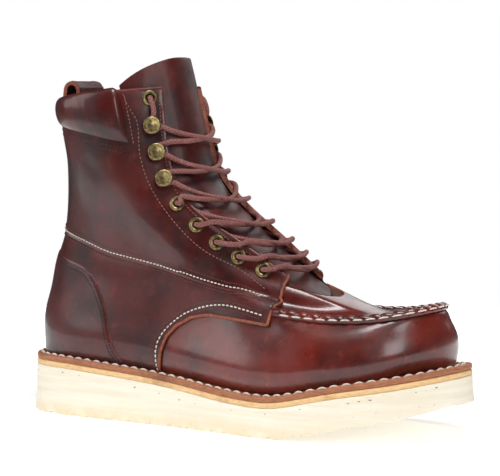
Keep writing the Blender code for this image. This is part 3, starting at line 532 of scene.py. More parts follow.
# Rows of stitches: name, seam (0 yoke, 1 arc, 2 counter, 3 eyestay), height, then shift, pitch, length and
# radius in mm, and the thread
SEAM_ROWS = (
    ("stitch_yoke", 0, SHAFT_HEIGHT, 1.9, 2.6, 1.75, 0.42, "white"),
    ("stitch_yoke_upper", 0, SHAFT_HEIGHT, 4.4, 2.0, 1.3, 0.34, "brown"),
    ("stitch_yoke_lower", 0, LOWER + 0.1 * MM, -1.8, 2.0, 1.3, 0.34, "brown"),
    ("stitch_arc", 1, LOWER, 0.0, 3.0, 2.1, 0.46, "white"),
    ("stitch_arc_upper", 1, LOWER, 2.4, 2.0, 1.3, 0.32, "brown"),
    ("stitch_arc_lower", 1, LOWER, -2.4, 2.0, 1.3, 0.32, "brown"),
    ("stitch_counter", 2, COUNTER, -1.6, 2.2, 1.5, 0.34, "dark"),
    ("stitch_counter_inner", 2, COUNTER, -4.0, 2.2, 1.5, 0.34, "dark"),
    ("stitch_eyestay", 3, SHAFT_HEIGHT, 0.0, 2.6, 1.8, 0.38, "pink"),
)
# Moccasin seam: where its ridge starts, then the pitch of its gathers, its stitches and its section in mm
RIDGE_END = 0.321
RIDGE_PITCH = 7.6
RIDGE_DASH = 5.6
RIDGE_SECTION = np.array(
    ((-3.2, -0.8), (-3.0, 0.7), (-2.0, 1.9), (-0.6, 2.6), (0.8, 2.6), (2.0, 1.9), (2.9, 0.6), (3.1, -1.6))
)
# Its stitches: name, distance up from the seam, height, lean, first and last place round
RIDGE_STITCHES = (
    ("stitch_moccasin", -2.6, 1.35, -0.8, 0.327, 0.673),
    ("stitch_plug", 3.0, 0.25, 0.8, 0.48, 0.668),
)
# Turned profiles: share of the rim's or the bore's radius (of the cap's or the neck's), height in mm
EYELET_PROFILE = (
    ("bore", 0.92, -0.4), ("bore", 1.0, 0.55), ("bore", 1.1, 1.0), ("rim", 0.74, 1.35), ("rim", 0.9, 1.15),
    ("rim", 1.0, 0.5), ("rim", 1.0, -0.6),
)
HOOK_PROFILE = (
    ("bore", 1.0, -0.4), ("rim", 0.8, -0.2), ("rim", 0.78, 0.6), ("bore", 1.0, 1.0), ("bore", 0.9, 3.6),
    ("rim", 0.86, 4.0), ("rim", 1.0, 4.5), ("rim", 0.98, 5.1), ("rim", 0.86, 5.5), ("rim", 0.7, 5.35),
    ("rim", 0.5, 5.5), ("rim", 0.25, 5.75), ("rim", 0.04 * MM / HOOK_DIAMETER, 5.8),
)
# Lace over the tongue: share of the way, drop in mm for a run from the medial and from the lateral side
LACE_ARCH = ((0.25, 0.0, 0.0), (0.5, 0.0, 1.6), (0.75, 1.2, 2.8))
# Lace past the far flap's edge: place round, ring number and height in mm
LACE_ENDS = {
    "hook": ((-0.004, 0.0, 2.8), (0.012, 0.03, 3.3)),
    "eyelet": ((-0.006, 0.0, -0.2), (0.012, 0.05, -1.3), (0.030, 0.08, -1.5)),
}
# Sections of the sole's layers: inset in mm, share of the height
NOTCH_PITCH = 15.5 * MM
OUTSOLE_SIDE = ((0.12, 0.15), (0.25, 0.45), (0.4, 0.8), (0.6, 0.95), (0.85, 1.0), (0.97, 1.1))
MIDSOLE_SECTION = ((9, 0), (0.5, 0), (0.05, 0.16), (-0.15, 0.5), (0.05, 0.84), (0.5, 1.0), (9, 1.0))
WELT_HIDDEN = (WELT_WIDTH + WALL) * 1000 - 1.4
WELT_SECTION = (
    (WELT_HIDDEN, 0), (0.6, 0), (0.1, 0.2), (0.0, 0.5), (0.15, 0.82), (0.7, 1.0), (2.2, 1.0), (2.7, 0.86),
    (3.3, 0.86), (3.8, 1.0), (5.2, 1.05), (WELT_HIDDEN, 1.05),
)
# Pitch and length of the stitches round the welt
WELT_PITCH, WELT_DASH = 7.4 * MM, 5.9 * MM
# Camera fitted to the photograph: angles in degrees, distance and target in metres, the rest in its pixels
CAMERA_AZIMUTH, CAMERA_ELEVATION, CAMERA_DISTANCE = 30, 4.2, 1.300
CAMERA_TARGET = (0.151, 0.0, 0.110)
CAMERA_FOCAL, CAMERA_SHIFT = 2075, (6, 8.5)
# Lights: name, place, aim, width, height, power
LIGHTS = (
    ("softbox_left", (-1.15, -0.75, 0.75), (-0.05, 0, 0.12), 0.8, 1.2, 9),
    ("softbox_top", (0.25, -0.30, 1.35), (0.03, 0, 0.06), 0.62, 0.42, 13),
    ("softbox_right", (1.15, -0.95, 0.85), (0.06, 0, 0.05), 0.5, 0.7, 7),
    ("softbox_back", (0.10, 1.30, 0.80), (0, 0, 0.10), 1.4, 0.8, 5),
)
FLOOR_RADIUS = 0.74
SKY_COLOUR, SKY_STRENGTH = (0.93, 0.95, 1.0, 1), 0.08
SCENE = bpy.context.scene


def lengths(points):
    """Distance of each point of a line along it."""
    return np.r_[0, np.cumsum(np.linalg.norm(np.diff(points, axis=0), axis=1))]


def sample(at, knots, rows):
    """Rows read between their knots, for any form of at."""
    return np.stack([np.interp(at, knots, column) for column in rows.T], -1)


def dashes(start, stop, pitch, length, steps):
    """Distances along a line of a row of dashes: (dashes, steps)."""
    return np.arange(start, stop, pitch)[:, None] + np.linspace(0, length, steps)[None, :]


def tree_of(points):
    """Search tree over points."""
    tree = KDTree(len(points))
    for k, point in enumerate(points):
        tree.insert(point, k)
    tree.balance()
    return tree


def hash_noise(x, seed):
    """Smooth noise from -1 to 1 along an array, with one knot per unit."""
    whole = np.floor(x)
    share = x - whole
    share = share * share * (3 - 2 * share)

    def knot(k):
        value = np.sin(k * 127.1 + seed * 311.7) * 43758.5453
        return 2 * (value - np.floor(value)) - 1

    return knot(whole) * (1 - share) + knot(whole + 1) * share


def creased(points, turn):
    """Height of the soft creases at points of the last."""
    side = np.where(turn % 1 < 0.5, 1, -1)
    x, z = points[:, 0] * 1000, points[:, 2] * 1000
    height = np.zeros(len(points))
    for which, x0, z0, x1, z1, depth, width in CREASES:
        run = np.array((x1 - x0, z1 - z0), float)
        share = np.clip(((x - x0) * run[0] + (z - z0) * run[1]) / (run @ run), 0, 1)
        far = np.hypot(x - x0 - share * run[0], z - z0 - share * run[1])
        height += np.where(side == which, depth * MM * np.exp(-((far / width) ** 2)), 0)
    return height


def throat_edges():
    """Rings along the throat, with the place round of its lateral and of its medial edge."""
    rings = np.linspace(6.6, TOP_RING, 28)
    found = np.array([LAST.throat(ring) for ring in rings])
    return rings, found[:, 0], found[:, 1]


THROAT_RINGS, THROAT_NEAR, THROAT_FAR = throat_edges()


def flared(turn, ring):
    """How far the two flaps lift off the tongue next to the throat."""
    near = np.interp(ring, THROAT_RINGS, THROAT_NEAR)
    far = np.interp(ring, THROAT_RINGS, THROAT_FAR)
    turn = turn % 1
    gap = np.minimum(np.abs(turn - near), np.abs(turn - far)) * SHAFT_GIRTH
    low = smooth(6.7, 7.3, ring)
    lift = 0.6 + 1.6 * np.exp(-(((ring - 7.9) / 0.9) ** 2))
    return lift * MM * low * np.exp(-((gap / FLAP_REACH) ** 2))


def spot(turn, ring, height):
    """Points over the last, with its relief, and the outward normals."""
    turn = np.asarray(turn, float) % 1
    ring = np.asarray(ring, float)
    points, normals = LAST.frame(turn, ring)
    # The quarters lie over the seam and the plug, so they copy little of their relief
    relief = seam_relief(points[:, 0], ring) * np.where(np.asarray(height) > MM, 0.3, 1.0)
    height = height + relief + creased(points, turn) + flared(turn, ring)
    points = points + normals * np.broadcast_to(height, len(turn))[:, None]
    points[:, 2] = np.maximum(points[:, 2], featherline(points[:, 0]) - 0.6 * MM)
    return points, normals


def side_path(seam, medial=False, step=1.2 * MM):
    """Places on the last along a seam drawn from the side, evenly spaced."""
    rows = np.array(seam, float) * MM
    knots = lengths(rows)
    at = np.linspace(0, knots[-1], max(int(knots[-1] / (6 * MM)), 4))
    places = np.array([LAST.at_side(x, z, medial) for x, z in cubic(knots, rows, at)])
    return even(places, step)


def even(places, step):
    """Places on the last resampled at an even step in metres."""
    knots = lengths(LAST.point(places[:, 0] % 1, places[:, 1]))
    knots += np.arange(len(knots)) * 1e-9
    return sample(np.linspace(0, knots[-1], max(int(knots[-1] / step), 4) + 1), knots, places)


def moved(places, distance):
    """Places beside a path, at a distance to its left on the surface."""
    points, normals = LAST.frame(places[:, 0] % 1, places[:, 1])
    ahead = np.gradient(points, axis=0)
    side = np.cross(normals, ahead)
    side /= np.linalg.norm(side, axis=1)[:, None] + 1e-12
    small = 1e-3
    round_way = (LAST.point((places[:, 0] + small) % 1, places[:, 1]) - points) / small
    up = (LAST.point(places[:, 0] % 1, places[:, 1] + small) - points) / small
    want = side * distance
    a, b, c = (round_way**2).sum(1), (round_way * up).sum(1), (up**2).sum(1)
    p, q = (want * round_way).sum(1), (want * up).sum(1)
    det = a * c - b * b
    return places + np.c_[(p * c - q * b) / det, (q * a - p * b) / det]


def inside(polygon, turn, ring):
    x0, y0 = polygon[:, 0], polygon[:, 1]
    x1, y1 = np.roll(x0, -1), np.roll(y0, -1)
    hit = np.zeros(len(turn), bool)
    for a, b, c, d in zip(x0, y0, x1, y1):
        if b == d:
            continue
        crossing = (b > ring) != (d > ring)
        hit ^= crossing & (turn < (c - a) * (ring - b) / (d - b) + a)
    return hit


def to_object(name, points, faces, finishes, slots=None, shares=None, smooth_angle=50):
    """Object from arrays in the sole's own frame, that rides on the boot."""
    mesh = bpy.data.meshes.new(name)
    mesh.from_pydata((points - SHIFT).tolist(), [], [tuple(face) for face in faces])
    for finish in finishes:
        mesh.materials.append(finish)
    if slots is not None:
        mesh.polygons.foreach_set("material_index", np.asarray(slots, np.int32))
    for key, values in (shares or {}).items():
        mesh.attributes.new(key, "FLOAT", "POINT").data.foreach_set("value", np.asarray(values, np.float32))
    mesh.shade_smooth()
    mesh.set_sharp_from_angle(angle=math.radians(smooth_angle))
    made = bpy.data.objects.new(name, mesh)
    SCENE.collection.objects.link(made)
    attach(made, "root")
    return made


def panel(name, polygon, height, base, finishes, seam=None, turn_step=1 / 560, ring_step=0.075):
    """Leather panel over the last: a grid snapped to its outline, with a rounded edge down to base."""
    polygon = even(np.r_[polygon, polygon[:1]], 0.4 * MM)[:-1]
    low, high = polygon.min(axis=0), polygon.max(axis=0)
    turns = np.arange(low[0] - turn_step, high[0] + turn_step, turn_step)
    rings = np.arange(max(low[1] - ring_step, -0.2), high[1] + ring_step, ring_step)
    wide = len(turns)
    turn, ring = (part.ravel() for part in np.meshgrid(turns, rings))
    cell = (np.arange(len(rings) - 1)[:, None] * wide + np.arange(wide - 1)[None, :]).ravel()
    cell = cell[inside(polygon, turn[cell] + turn_step / 2, ring[cell] + ring_step / 2)]
    faces = np.c_[cell, cell + 1, cell + wide + 1, cell + wide]
    ends = np.concatenate([faces[:, [0, 1]], faces[:, [1, 2]], faces[:, [2, 3]], faces[:, [3, 0]]])
    ordered = np.sort(ends, axis=1)
    edge_key = ordered[:, 0] * len(turn) + ordered[:, 1]
    first, count = np.unique(edge_key, return_index=True, return_counts=True)[1:]
    border = ends[first[count == 1]]
    rim = np.unique(border)
    tree = tree_of(LAST.point(polygon[:, 0] % 1, polygon[:, 1]))
    used = np.unique(faces)
    flat = LAST.point(turn[used] % 1, ring[used])
    near = [tree.find(point) for point in flat]
    far = np.array([hit[2] for hit in near])
    where = {vertex: hit[1] for vertex, hit in zip(used, near)}
    for vertex in rim:
        turn[vertex], ring[vertex] = polygon[where[vertex]]
    order = np.full(len(turn), -1)
    order[used] = np.arange(len(used))
    turn, ring = turn[used], ring[used]
    faces, border, rim = order[faces], order[border], order[rim]
    far[rim] = 0
    skived = -0.25 * MM * np.exp(-far / (1.2 * MM))
    points, normals = spot(turn, ring, height + skived)
    along_rim = np.zeros_like(points)
    for end in (0, 1):
        np.add.at(along_rim, border[:, end], points[border[:, 1]] - points[border[:, 0]])
    along_rim /= np.linalg.norm(along_rim, axis=1)[:, None] + 1e-12
    outward = np.cross(along_rim, normals)
    outward /= np.linalg.norm(outward, axis=1)[:, None] + 1e-12
    drop = np.full(len(rim), height - base)
    total = len(points)
    number = np.full(len(points), -1)
    number[rim] = np.arange(len(rim))
    a, b = number[border[:, 0]], number[border[:, 1]]
    stack, far_stack, all_faces, all_slots = [points], [far], [faces], [np.zeros(len(faces), int)]
    before = rim
    for out, down, slot in EDGE_PROFILE:
        depth = drop if down is None else np.minimum(down * EDGE_ROUND, drop)
        stack.append(points[rim] + outward[rim] * out * EDGE_ROUND - normals[rim] * depth[:, None])
        far_stack.append(np.zeros(len(rim)))
        after = total + np.arange(len(rim))
        all_faces.append(np.c_[before[b], before[a], after[a], after[b]])
        all_slots.append(np.full(len(a), slot))
        before = after
        total += len(rim)
    near_seam = np.full(len(flat), FAR) if seam is None else seam_share(seam, flat)
    near_seam = np.r_[near_seam, np.full(total - len(flat), FAR)]
    shares = {"edge": np.concatenate(far_stack) * 1000, "seam": near_seam}
    faces = np.concatenate(all_faces)
    return to_object(name, np.concatenate(stack), faces, finishes, np.concatenate(all_slots), shares)


def seam_share(paths, flat):
    """Signed distance in millimetres from points of the last to the nearest of the seams, up to FAR."""
    rows, sides = [], []
    for path in paths:
        points, normals = LAST.frame(path[:, 0] % 1, path[:, 1])
        side = np.cross(normals, np.gradient(points, axis=0))
        rows.append(points)
        sides.append(side / (np.linalg.norm(side, axis=1)[:, None] + 1e-12))
    rows, sides = np.concatenate(rows), np.concatenate(sides)
    tree = tree_of(rows)
    found = np.full(len(flat), FAR)
    for k, point in enumerate(flat):
        index, distance = tree.find(point)[1:]
        if distance < FAR * MM:
            found[k] = 1000 * distance * (1 if (point - rows[index]) @ sides[index] > 0 else -1)
    return found


def tubes(name, lines, normals, radii, finish, sides=6, flat=1.0):
    """Joined tubes along lines of equal length: lines and normals are (tubes, points, 3)."""
    lines, normals = np.asarray(lines), np.asarray(normals)
    count, steps = lines.shape[:2]
    ahead = np.gradient(lines, axis=1)
    ahead /= np.linalg.norm(ahead, axis=2)[..., None] + 1e-12
    across = np.cross(ahead, normals)
    across /= np.linalg.norm(across, axis=2)[..., None] + 1e-12
    up = np.cross(across, ahead)
    angle = np.linspace(0, 2 * math.pi, sides + 1)[:-1]
    radii = np.broadcast_to(radii, (count, steps))[..., None, None]
    ring = across[:, :, None] * np.cos(angle)[:, None] + up[:, :, None] * np.sin(angle)[:, None] * flat
    points = (lines[:, :, None] + ring * radii).reshape(-1, 3)
    k, i, j = np.meshgrid(np.arange(count), np.arange(steps - 1), np.arange(sides), indexing="ij")
    here = (k * steps + i) * sides
    after = (j + 1) % sides
    corners = (here + j, here + after, here + sides + after, here + sides + j)
    faces = np.stack(corners, axis=-1).reshape(-1, 4).tolist()
    for k in range(count):
        first = k * steps * sides
        last = first + (steps - 1) * sides
        faces.append(tuple(range(first + sides - 1, first - 1, -1)))
        faces.append(tuple(range(last, last + sides)))
    run = [lengths(line) * 1000 for line in lines]
    shares = {"run": np.repeat(np.ravel(run), sides), "round": np.tile(angle, count * steps)}
    return to_object(name, points, faces, [finish], None, shares, 80)


def stitches(name, paths, height, pitch, length, radius, finish, steps=5):
    """Row of stitches along paths on the last, as one mesh. Pitch, length and radius are in millimetres."""
    pitch, length, radius = pitch * MM, length * MM, radius * MM
    lines, ups = [], []
    for path in paths:
        points, normals = spot(path[:, 0], path[:, 1], height)
        knots = lengths(points)
        at = dashes(0.3 * pitch, knots[-1] - length, pitch, length, steps)
        rise = np.sin(np.linspace(0, math.pi, steps)) * radius * 1.1 - 0.45 * radius
        up = sample(at, knots, normals)
        lines.append(sample(at, knots, points) + up * rise[None, :, None])
        ups.append(up)
    taper = np.array([0.55] + [1.0] * (steps - 2) + [0.55]) * radius
    return tubes(name, np.concatenate(lines), np.concatenate(ups), taper, finish, 6, 0.75)


def dense(rows):
    """A closed or open run of places with a small step between them."""
    found = []
    for here, there in zip(rows, rows[1:]):
        count = max(int(max(abs(there[0] - here[0]) / 0.006, abs(there[1] - here[1]) / 0.25)), 1)
        for k in range(count):
            found.append(here + (there - here) * k / count)
    found.append(rows[-1])
    return np.array(found)


def closed_outline(*runs):
    rows = np.concatenate([np.asarray(run, float) for run in runs])
    return dense(np.r_[rows, rows[:1]])[:-1]


def mirrored(rows):
    """Places on the other side of the boot."""
    return np.asarray(rows, float) * (-1, 1)


def seam_both(seam):
    """The lateral and the medial run of a seam, both from their first point, with signed places round."""
    near = side_path(seam)
    far = side_path(seam, True)
    return near, far - (1, 0)


def loft(name, rows, finishes, slots=None, closed=True, smooth_angle=40, shares=None):
    """Surface through rows of points of equal length."""
    rows = np.asarray(rows)
    levels, wide = rows.shape[:2]
    ends = wide if closed else wide - 1
    i, j = np.meshgrid(np.arange(levels - 1), np.arange(ends), indexing="ij")
    after = (j + 1) % wide
    corners = (i * wide + j, i * wide + after, (i + 1) * wide + after, (i + 1) * wide + j)
    faces = np.stack(corners, axis=-1).reshape(-1, 4)
    kinds = None if slots is None else np.repeat(slots, ends)
    return to_object(name, rows.reshape(-1, 3), faces, finishes, kinds, shares, smooth_angle)


class Shader:
    """Short way to write a node material."""

    def __init__(self, name):
        self.material = bpy.data.materials.new(name)
        self.material.use_nodes = True
        self.tree = self.material.node_tree
        self.surface = self.tree.nodes["Principled BSDF"]
        self.place = self.node("ShaderNodeTexCoord").outputs["Object"]

    def node(self, kind, inputs=None, **settings):
        made = self.tree.nodes.new(kind)
        for key, value in settings.items():
            setattr(made, key, value)
        for key, value in (inputs or {}).items():
            self.put(made.inputs[key], value)
        return made

    def put(self, socket, value):
        if isinstance(value, bpy.types.NodeSocket):
            self.tree.links.new(value, socket)
        elif socket.type == "RGBA":
            socket.default_value = (*value, 1)
        else:
            socket.default_value = value

    def one(self, a, operation):
        return self.node("ShaderNodeMath", {0: a}, operation=operation).outputs[0]

    def noise(self, scale, detail=4.0, rough=0.55, place=None):
        inputs = {"Vector": place or self.place, "Scale": scale, "Detail": detail, "Roughness": rough}
        return self.node("ShaderNodeTexNoise", inputs).outputs["Fac"]

    def cells(self, scale, place=None, feature="DISTANCE_TO_EDGE"):
        inputs = {"Vector": place or self.place, "Scale": scale}
        return self.node("ShaderNodeTexVoronoi", inputs, feature=feature).outputs["Distance"]

    def ramp(self, value, low, high, out_low=0.0, out_high=1.0):
        inputs = {"Value": value, "From Min": low, "From Max": high, "To Min": out_low, "To Max": out_high}
        return self.node("ShaderNodeMapRange", inputs, interpolation_type="SMOOTHSTEP").outputs["Result"]

    def sum(self, a, b, operation="ADD"):
        return self.node("ShaderNodeMath", {0: a, 1: b}, operation=operation).outputs[0]

    def blend(self, share, a, b, kind="MIX"):
        made = self.node("ShaderNodeMix", data_type="RGBA", blend_type=kind)
        for place, value in ((0, share), (6, a), (7, b)):
            self.put(made.inputs[place], value)
        return made.outputs[2]

    def attribute(self, name):
        return self.node("ShaderNodeAttribute", attribute_name=name).outputs["Fac"]

    def stretched(self, x, y, z):
        return self.node("ShaderNodeMapping", {"Vector": self.place, "Scale": (x, y, z)}).outputs["Vector"]

    def bump(self, height, strength, distance, below=None):
        inputs = {"Height": height, "Strength": strength, "Distance": distance}
        if below is not None:
            inputs["Normal"] = below
        return self.node("ShaderNodeBump", inputs).outputs["Normal"]

    def finish(self, **sockets):
        for key, value in sockets.items():
            self.put(self.surface.inputs[key.replace("_", " ")], value)
        return self.material


def leather(name, dark, middle, light, rough=0.38, coat=0.42, seams=False):
    """Pull-up leather: cloudy colour, fine grain, a waxed shine and paler skived edges; with seams, painted
    shade along the seam grooves.
    """
    s = Shader(name)
    cloud = s.noise(26, 5, 0.6)
    mottle = s.noise(140, 4, 0.65)
    grain = s.cells(1500)
    hair = s.noise(420, 5, 0.6, s.stretched(1, 1, 0.45))
    colour = s.blend(s.ramp(cloud, 0.34, 0.62), dark, middle)
    colour = s.blend(s.ramp(mottle, 0.52, 0.78, 0, 0.55), colour, light)
    wear = s.ramp(s.attribute("edge"), 0.2, 1.6, 0.5, 0)
    colour = s.blend(s.sum(wear, s.ramp(mottle, 0.3, 0.6), "MULTIPLY"), colour, light)
    height = s.sum(s.ramp(grain, 0, 0.35), s.sum(hair, 1.4, "MULTIPLY"))
    normal = s.bump(height, 0.16, 0.00025)
    normal = s.bump(cloud, 0.22, 0.0016, normal)
    # With seams, the colour is darkened towards near black close to each seam: painted shade in the seam
    # grooves. The same mask sinks the groove by bump.
    if seams:
        far = s.one(s.attribute("seam"), "ABSOLUTE")
        groove_and_shade = s.ramp(far, 0.1, 1.5, 1, 0)
        colour = s.blend(s.sum(groove_and_shade, 0.72, "MULTIPLY"), colour, (0.012, 0.002, 0.002))
        normal = s.bump(groove_and_shade, -0.7, 0.0009, normal)
    rough_map = s.ramp(s.noise(60, 4, 0.6), 0.35, 0.7, rough - 0.07, rough + 0.12)
    s.finish(Base_Color=colour, Roughness=rough_map, Normal=normal, Coat_Weight=coat, Coat_Roughness=0.16)
    s.put(s.surface.inputs["Coat Normal"], s.bump(cloud, 0.06, 0.0012))
    s.put(s.surface.inputs["Specular IOR Level"], 0.36)
    return s.material


def raw_edge(name, dark, light):
    s = Shader(name)
    fibre = s.noise(700, 5, 0.7)
    colour = s.blend(s.ramp(fibre, 0.35, 0.68), dark, light)
    return s.finish(Base_Color=colour, Roughness=0.62, Normal=s.bump(fibre, 0.5, 0.0003))


def thread(name, colour, shade, rough=0.7):
    """Twisted thread."""
    s = Shader(name)
    twist = s.sum(s.sum(s.attribute("run"), 9.0, "MULTIPLY"), s.attribute("round"))
    wave = s.one(twist, "SINE")
    mixed = s.blend(s.ramp(wave, -1, 1, 0, 0.7), colour, shade)
    mixed = s.blend(s.ramp(s.noise(500, 3), 0.45, 0.75, 0, 0.5), mixed, shade)
    return s.finish(Base_Color=mixed, Roughness=rough, Normal=s.bump(wave, 0.35, 0.00015))


def braid(name):
    """Round waxed lace: two sets of strands that cross."""
    s = Shader(name)
    run = s.sum(s.attribute("run"), 2.9, "MULTIPLY")
    twice = s.sum(s.attribute("round"), 4.0, "MULTIPLY")
    weave = s.sum(s.one(s.sum(run, twice), "SINE"), s.one(s.sum(run, twice, "SUBTRACT"), "SINE"), "MAXIMUM")
    # The low parts of the weave are painted darker: painted shade between the strands.
    colour = s.blend(s.ramp(weave, -0.2, 1.0), (0.150, 0.048, 0.042), (0.285, 0.100, 0.088))
    colour = s.blend(s.ramp(s.noise(320, 4), 0.5, 0.8, 0, 0.5), colour, (0.45, 0.20, 0.17))
    return s.finish(Base_Color=colour, Roughness=0.62, Normal=s.bump(weave, 0.5, 0.0003))


def cut_leather(name, pale, tan, dark, streak=(1, 1, 6)):
    """Cut edge of sole leather: layers of fibre, with darker burnished patches."""
    s = Shader(name)
    fibre = s.noise(260, 6, 0.7, s.stretched(*streak))
    patch = s.noise(45, 4, 0.6)
    colour = s.blend(s.ramp(fibre, 0.3, 0.65), tan, pale)
    colour = s.blend(s.ramp(patch, 0.5, 0.75, 0, 0.75), colour, dark)
    rough = s.ramp(fibre, 0.3, 0.7, 0.5, 0.68)
    return s.finish(Base_Color=colour, Roughness=rough, Normal=s.bump(fibre, 0.4, 0.0004))


def rubber(name):
    """Cream foam wedge: faint streaks along it, yellower near the tread, small scuffs."""
    s = Shader(name)
    streaks = s.noise(90, 5, 0.6, s.stretched(0.18, 0.18, 3.2))
    foam = s.cells(1100)
    height = s.node("ShaderNodeSeparateXYZ", {"Vector": s.place}).outputs["Z"]
    colour = s.blend(s.ramp(streaks, 0.35, 0.68), (0.87, 0.785, 0.62), (0.93, 0.87, 0.73))
    base = s.sum(s.ramp(height, 0.0, 0.012, 0.75, 0), s.ramp(s.noise(120, 4), 0.35, 0.6, 0.4, 1), "MULTIPLY")
    colour = s.blend(base, colour, (0.80, 0.67, 0.43))
    grit = s.ramp(s.noise(330, 3, 0.6), 0.68, 0.74)
    colour = s.blend(s.sum(grit, 0.35, "MULTIPLY"), colour, (0.42, 0.27, 0.13))
    normal = s.bump(s.sum(foam, streaks), 0.35, 0.0005)
    s.put(s.surface.inputs["Subsurface Weight"], 0.12)
    s.put(s.surface.inputs["Subsurface Radius"], (0.004, 0.003, 0.002))
    s.put(s.surface.inputs["Subsurface Scale"], 1.0)
    return s.finish(Base_Color=colour, Roughness=0.66, Normal=normal)


def brass(name):
    s = Shader(name)
    tarnish = s.noise(380, 5, 0.65)
    colour = s.blend(s.ramp(tarnish, 0.38, 0.66), (0.34, 0.26, 0.115), (0.085, 0.062, 0.032))
    rough = s.ramp(tarnish, 0.35, 0.7, 0.3, 0.52)
    return s.finish(Base_Color=colour, Metallic=1.0, Roughness=rough, Normal=s.bump(tarnish, 0.3, 0.0002))


def plain(name, colour, other, rough):
    s = Shader(name)
    cloud = s.noise(420, 4)
    mixed = s.blend(cloud, colour, other)
    return s.finish(Base_Color=mixed, Roughness=rough, Normal=s.bump(cloud, 0.4, 0.0003))


BURGUNDY = ((0.022, 0.0022, 0.0020), (0.072, 0.0062, 0.0044), (0.165, 0.0185, 0.0100))
OXBLOOD = ((0.056, 0.0046, 0.0034), (0.140, 0.0125, 0.0068), (0.260, 0.034, 0.015))
FINISH = {
    "shaft": leather("shaft_leather", *BURGUNDY, seams=True),
    "vamp": leather("vamp_leather", *OXBLOOD, rough=0.33, coat=0.7),
    "ridge": leather("ridge_leather", *OXBLOOD, rough=0.33, coat=0.7, seams=True),
    "tongue": leather("tongue_leather", *BURGUNDY, rough=0.48, coat=0.1),
    "raw": raw_edge("raw_edge", (0.15, 0.034, 0.017), (0.36, 0.100, 0.046)),
    # Brown suede lining, its colour darkened partly as painted shade inside the boot.
    "lining": plain("suede_lining_and_shade", (0.105, 0.043, 0.025), (0.055, 0.021, 0.013), 0.95),
    "insole": plain("insole_leather", (0.40, 0.22, 0.11), (0.28, 0.14, 0.065), 0.8),
    "white": thread("white_thread", (0.86, 0.78, 0.71), (0.62, 0.50, 0.42)),
    "dark": thread("dark_thread", (0.030, 0.006, 0.005), (0.012, 0.002, 0.002), 0.5),
    "brown": thread("brown_thread", (0.17, 0.050, 0.042), (0.06, 0.014, 0.012)),
    "pink": thread("eyestay_thread", (0.34, 0.11, 0.085), (0.18, 0.045, 0.034)),
    "welt": cut_leather("welt_leather", (0.44, 0.175, 0.078), (0.28, 0.086, 0.037), (0.14, 0.038, 0.018)),
    "midsole": cut_leather("midsole_leather", (0.88, 0.61, 0.31), (0.74, 0.43, 0.18), (0.48, 0.22, 0.085)),
    "rubber": rubber("cream_rubber"),
    "speck": plain("sole_speck", (0.30, 0.16, 0.075), (0.12, 0.06, 0.03), 0.8),
    "brass": brass("antique_brass"),
    "lace": braid("brown_lace"),
    # Near-black disc in the eyelet bores: painted shade of the holes.
    "shade_disc": plain("eyelet_shade_disc", (0.010, 0.006, 0.005), (0.004, 0.003, 0.003), 0.9),
}


def lateral_front():
    """Front edge of the lateral quarter: the table, then straight from its corner to the foot of the flap."""
    corner, foot = LAST.point(*np.array((QUARTER_FRONT[-1], FLAP_FOOT)).T)
    rows = list(QUARTER_FRONT)
    for share in (0.12, 0.26, 0.40, 0.55, 0.70, 0.85):
        x, _, z = corner + (foot - corner) * share
        rows.append(LAST.at_side(x, z))
    return np.array(rows + [FLAP_FOOT])


def throat_run(low, high, column, count=30):
    """Places along a flap's edge: column is 0 for the lateral flap and 1 for the medial one."""
    rings = np.linspace(low, high, count)
    turns = np.interp(rings, THROAT_RINGS, THROAT_NEAR if column == 0 else THROAT_FAR - 1)
    return np.c_[turns, rings]


def build_panels(front, seams):
    """The leather panels of the upper, from the lowest layer to the highest."""
    (yoke_near, yoke_far), arcs, (counter_near, counter_far), stays = seams
    made = []

    def leather_panel(name, outline_of, height, finish, near=None, edge="raw"):
        made.append(panel(name, outline_of, height, PANEL_BASE, [FINISH[finish], FINISH[edge]], near))

    vamp = closed_outline([(0.16, -0.2), (0.84, -0.2), (0.84, 4.02), (0.16, 4.02)])
    leather_panel("vamp", vamp, 0.0, "vamp")
    back = [LAST.at_side(x * MM, z * MM, True) for x, z in PLUG_BACK]
    plug = closed_outline([(0.28, 3.95), (0.72, 3.95), (0.71, 5.2)], back, PLUG_NEAR)
    made.append(panel("toe_plug", plug, 0.0, -2.2 * MM, [FINISH["vamp"], FINISH["raw"]]))
    round_heel = [(0.30, 9.0), (-0.30, 9.0)]
    low = closed_outline(front, throat_run(7.2, 8.0, 0, 6), round_heel, throat_run(8.0, 7.2, 1, 6),
                         mirrored(front)[::-1])
    leather_panel("quarters", low, LOWER, "shaft", arcs)
    # The shaft with its eyestays lies over the lower quarters
    near_front = front[front[:, 1] > yoke_near[-1, 1] + 0.05]
    top = TOP_RING - 0.06
    shaft = closed_outline(
        yoke_near[yoke_near[:, 1] < 7.0][::8], near_front, throat_run(7.25, top, 0), throat_run(top, 7.25, 1),
        mirrored(near_front)[::-1], yoke_far[yoke_far[:, 1] < 7.0][::-8],
    )
    shaft_seams = [*stays, moved(yoke_near, 1.9 * MM), moved(yoke_far, -1.9 * MM)]
    leather_panel("shaft", shaft, SHAFT_HEIGHT, "shaft", shaft_seams)
    foot = [(counter_near[-1, 0], -0.2), (counter_far[-1, 0], -0.2)]
    heel = closed_outline(counter_near[::6], foot, counter_far[::-6])
    leather_panel("counter", heel, COUNTER, "shaft", None, "shaft")
    return made


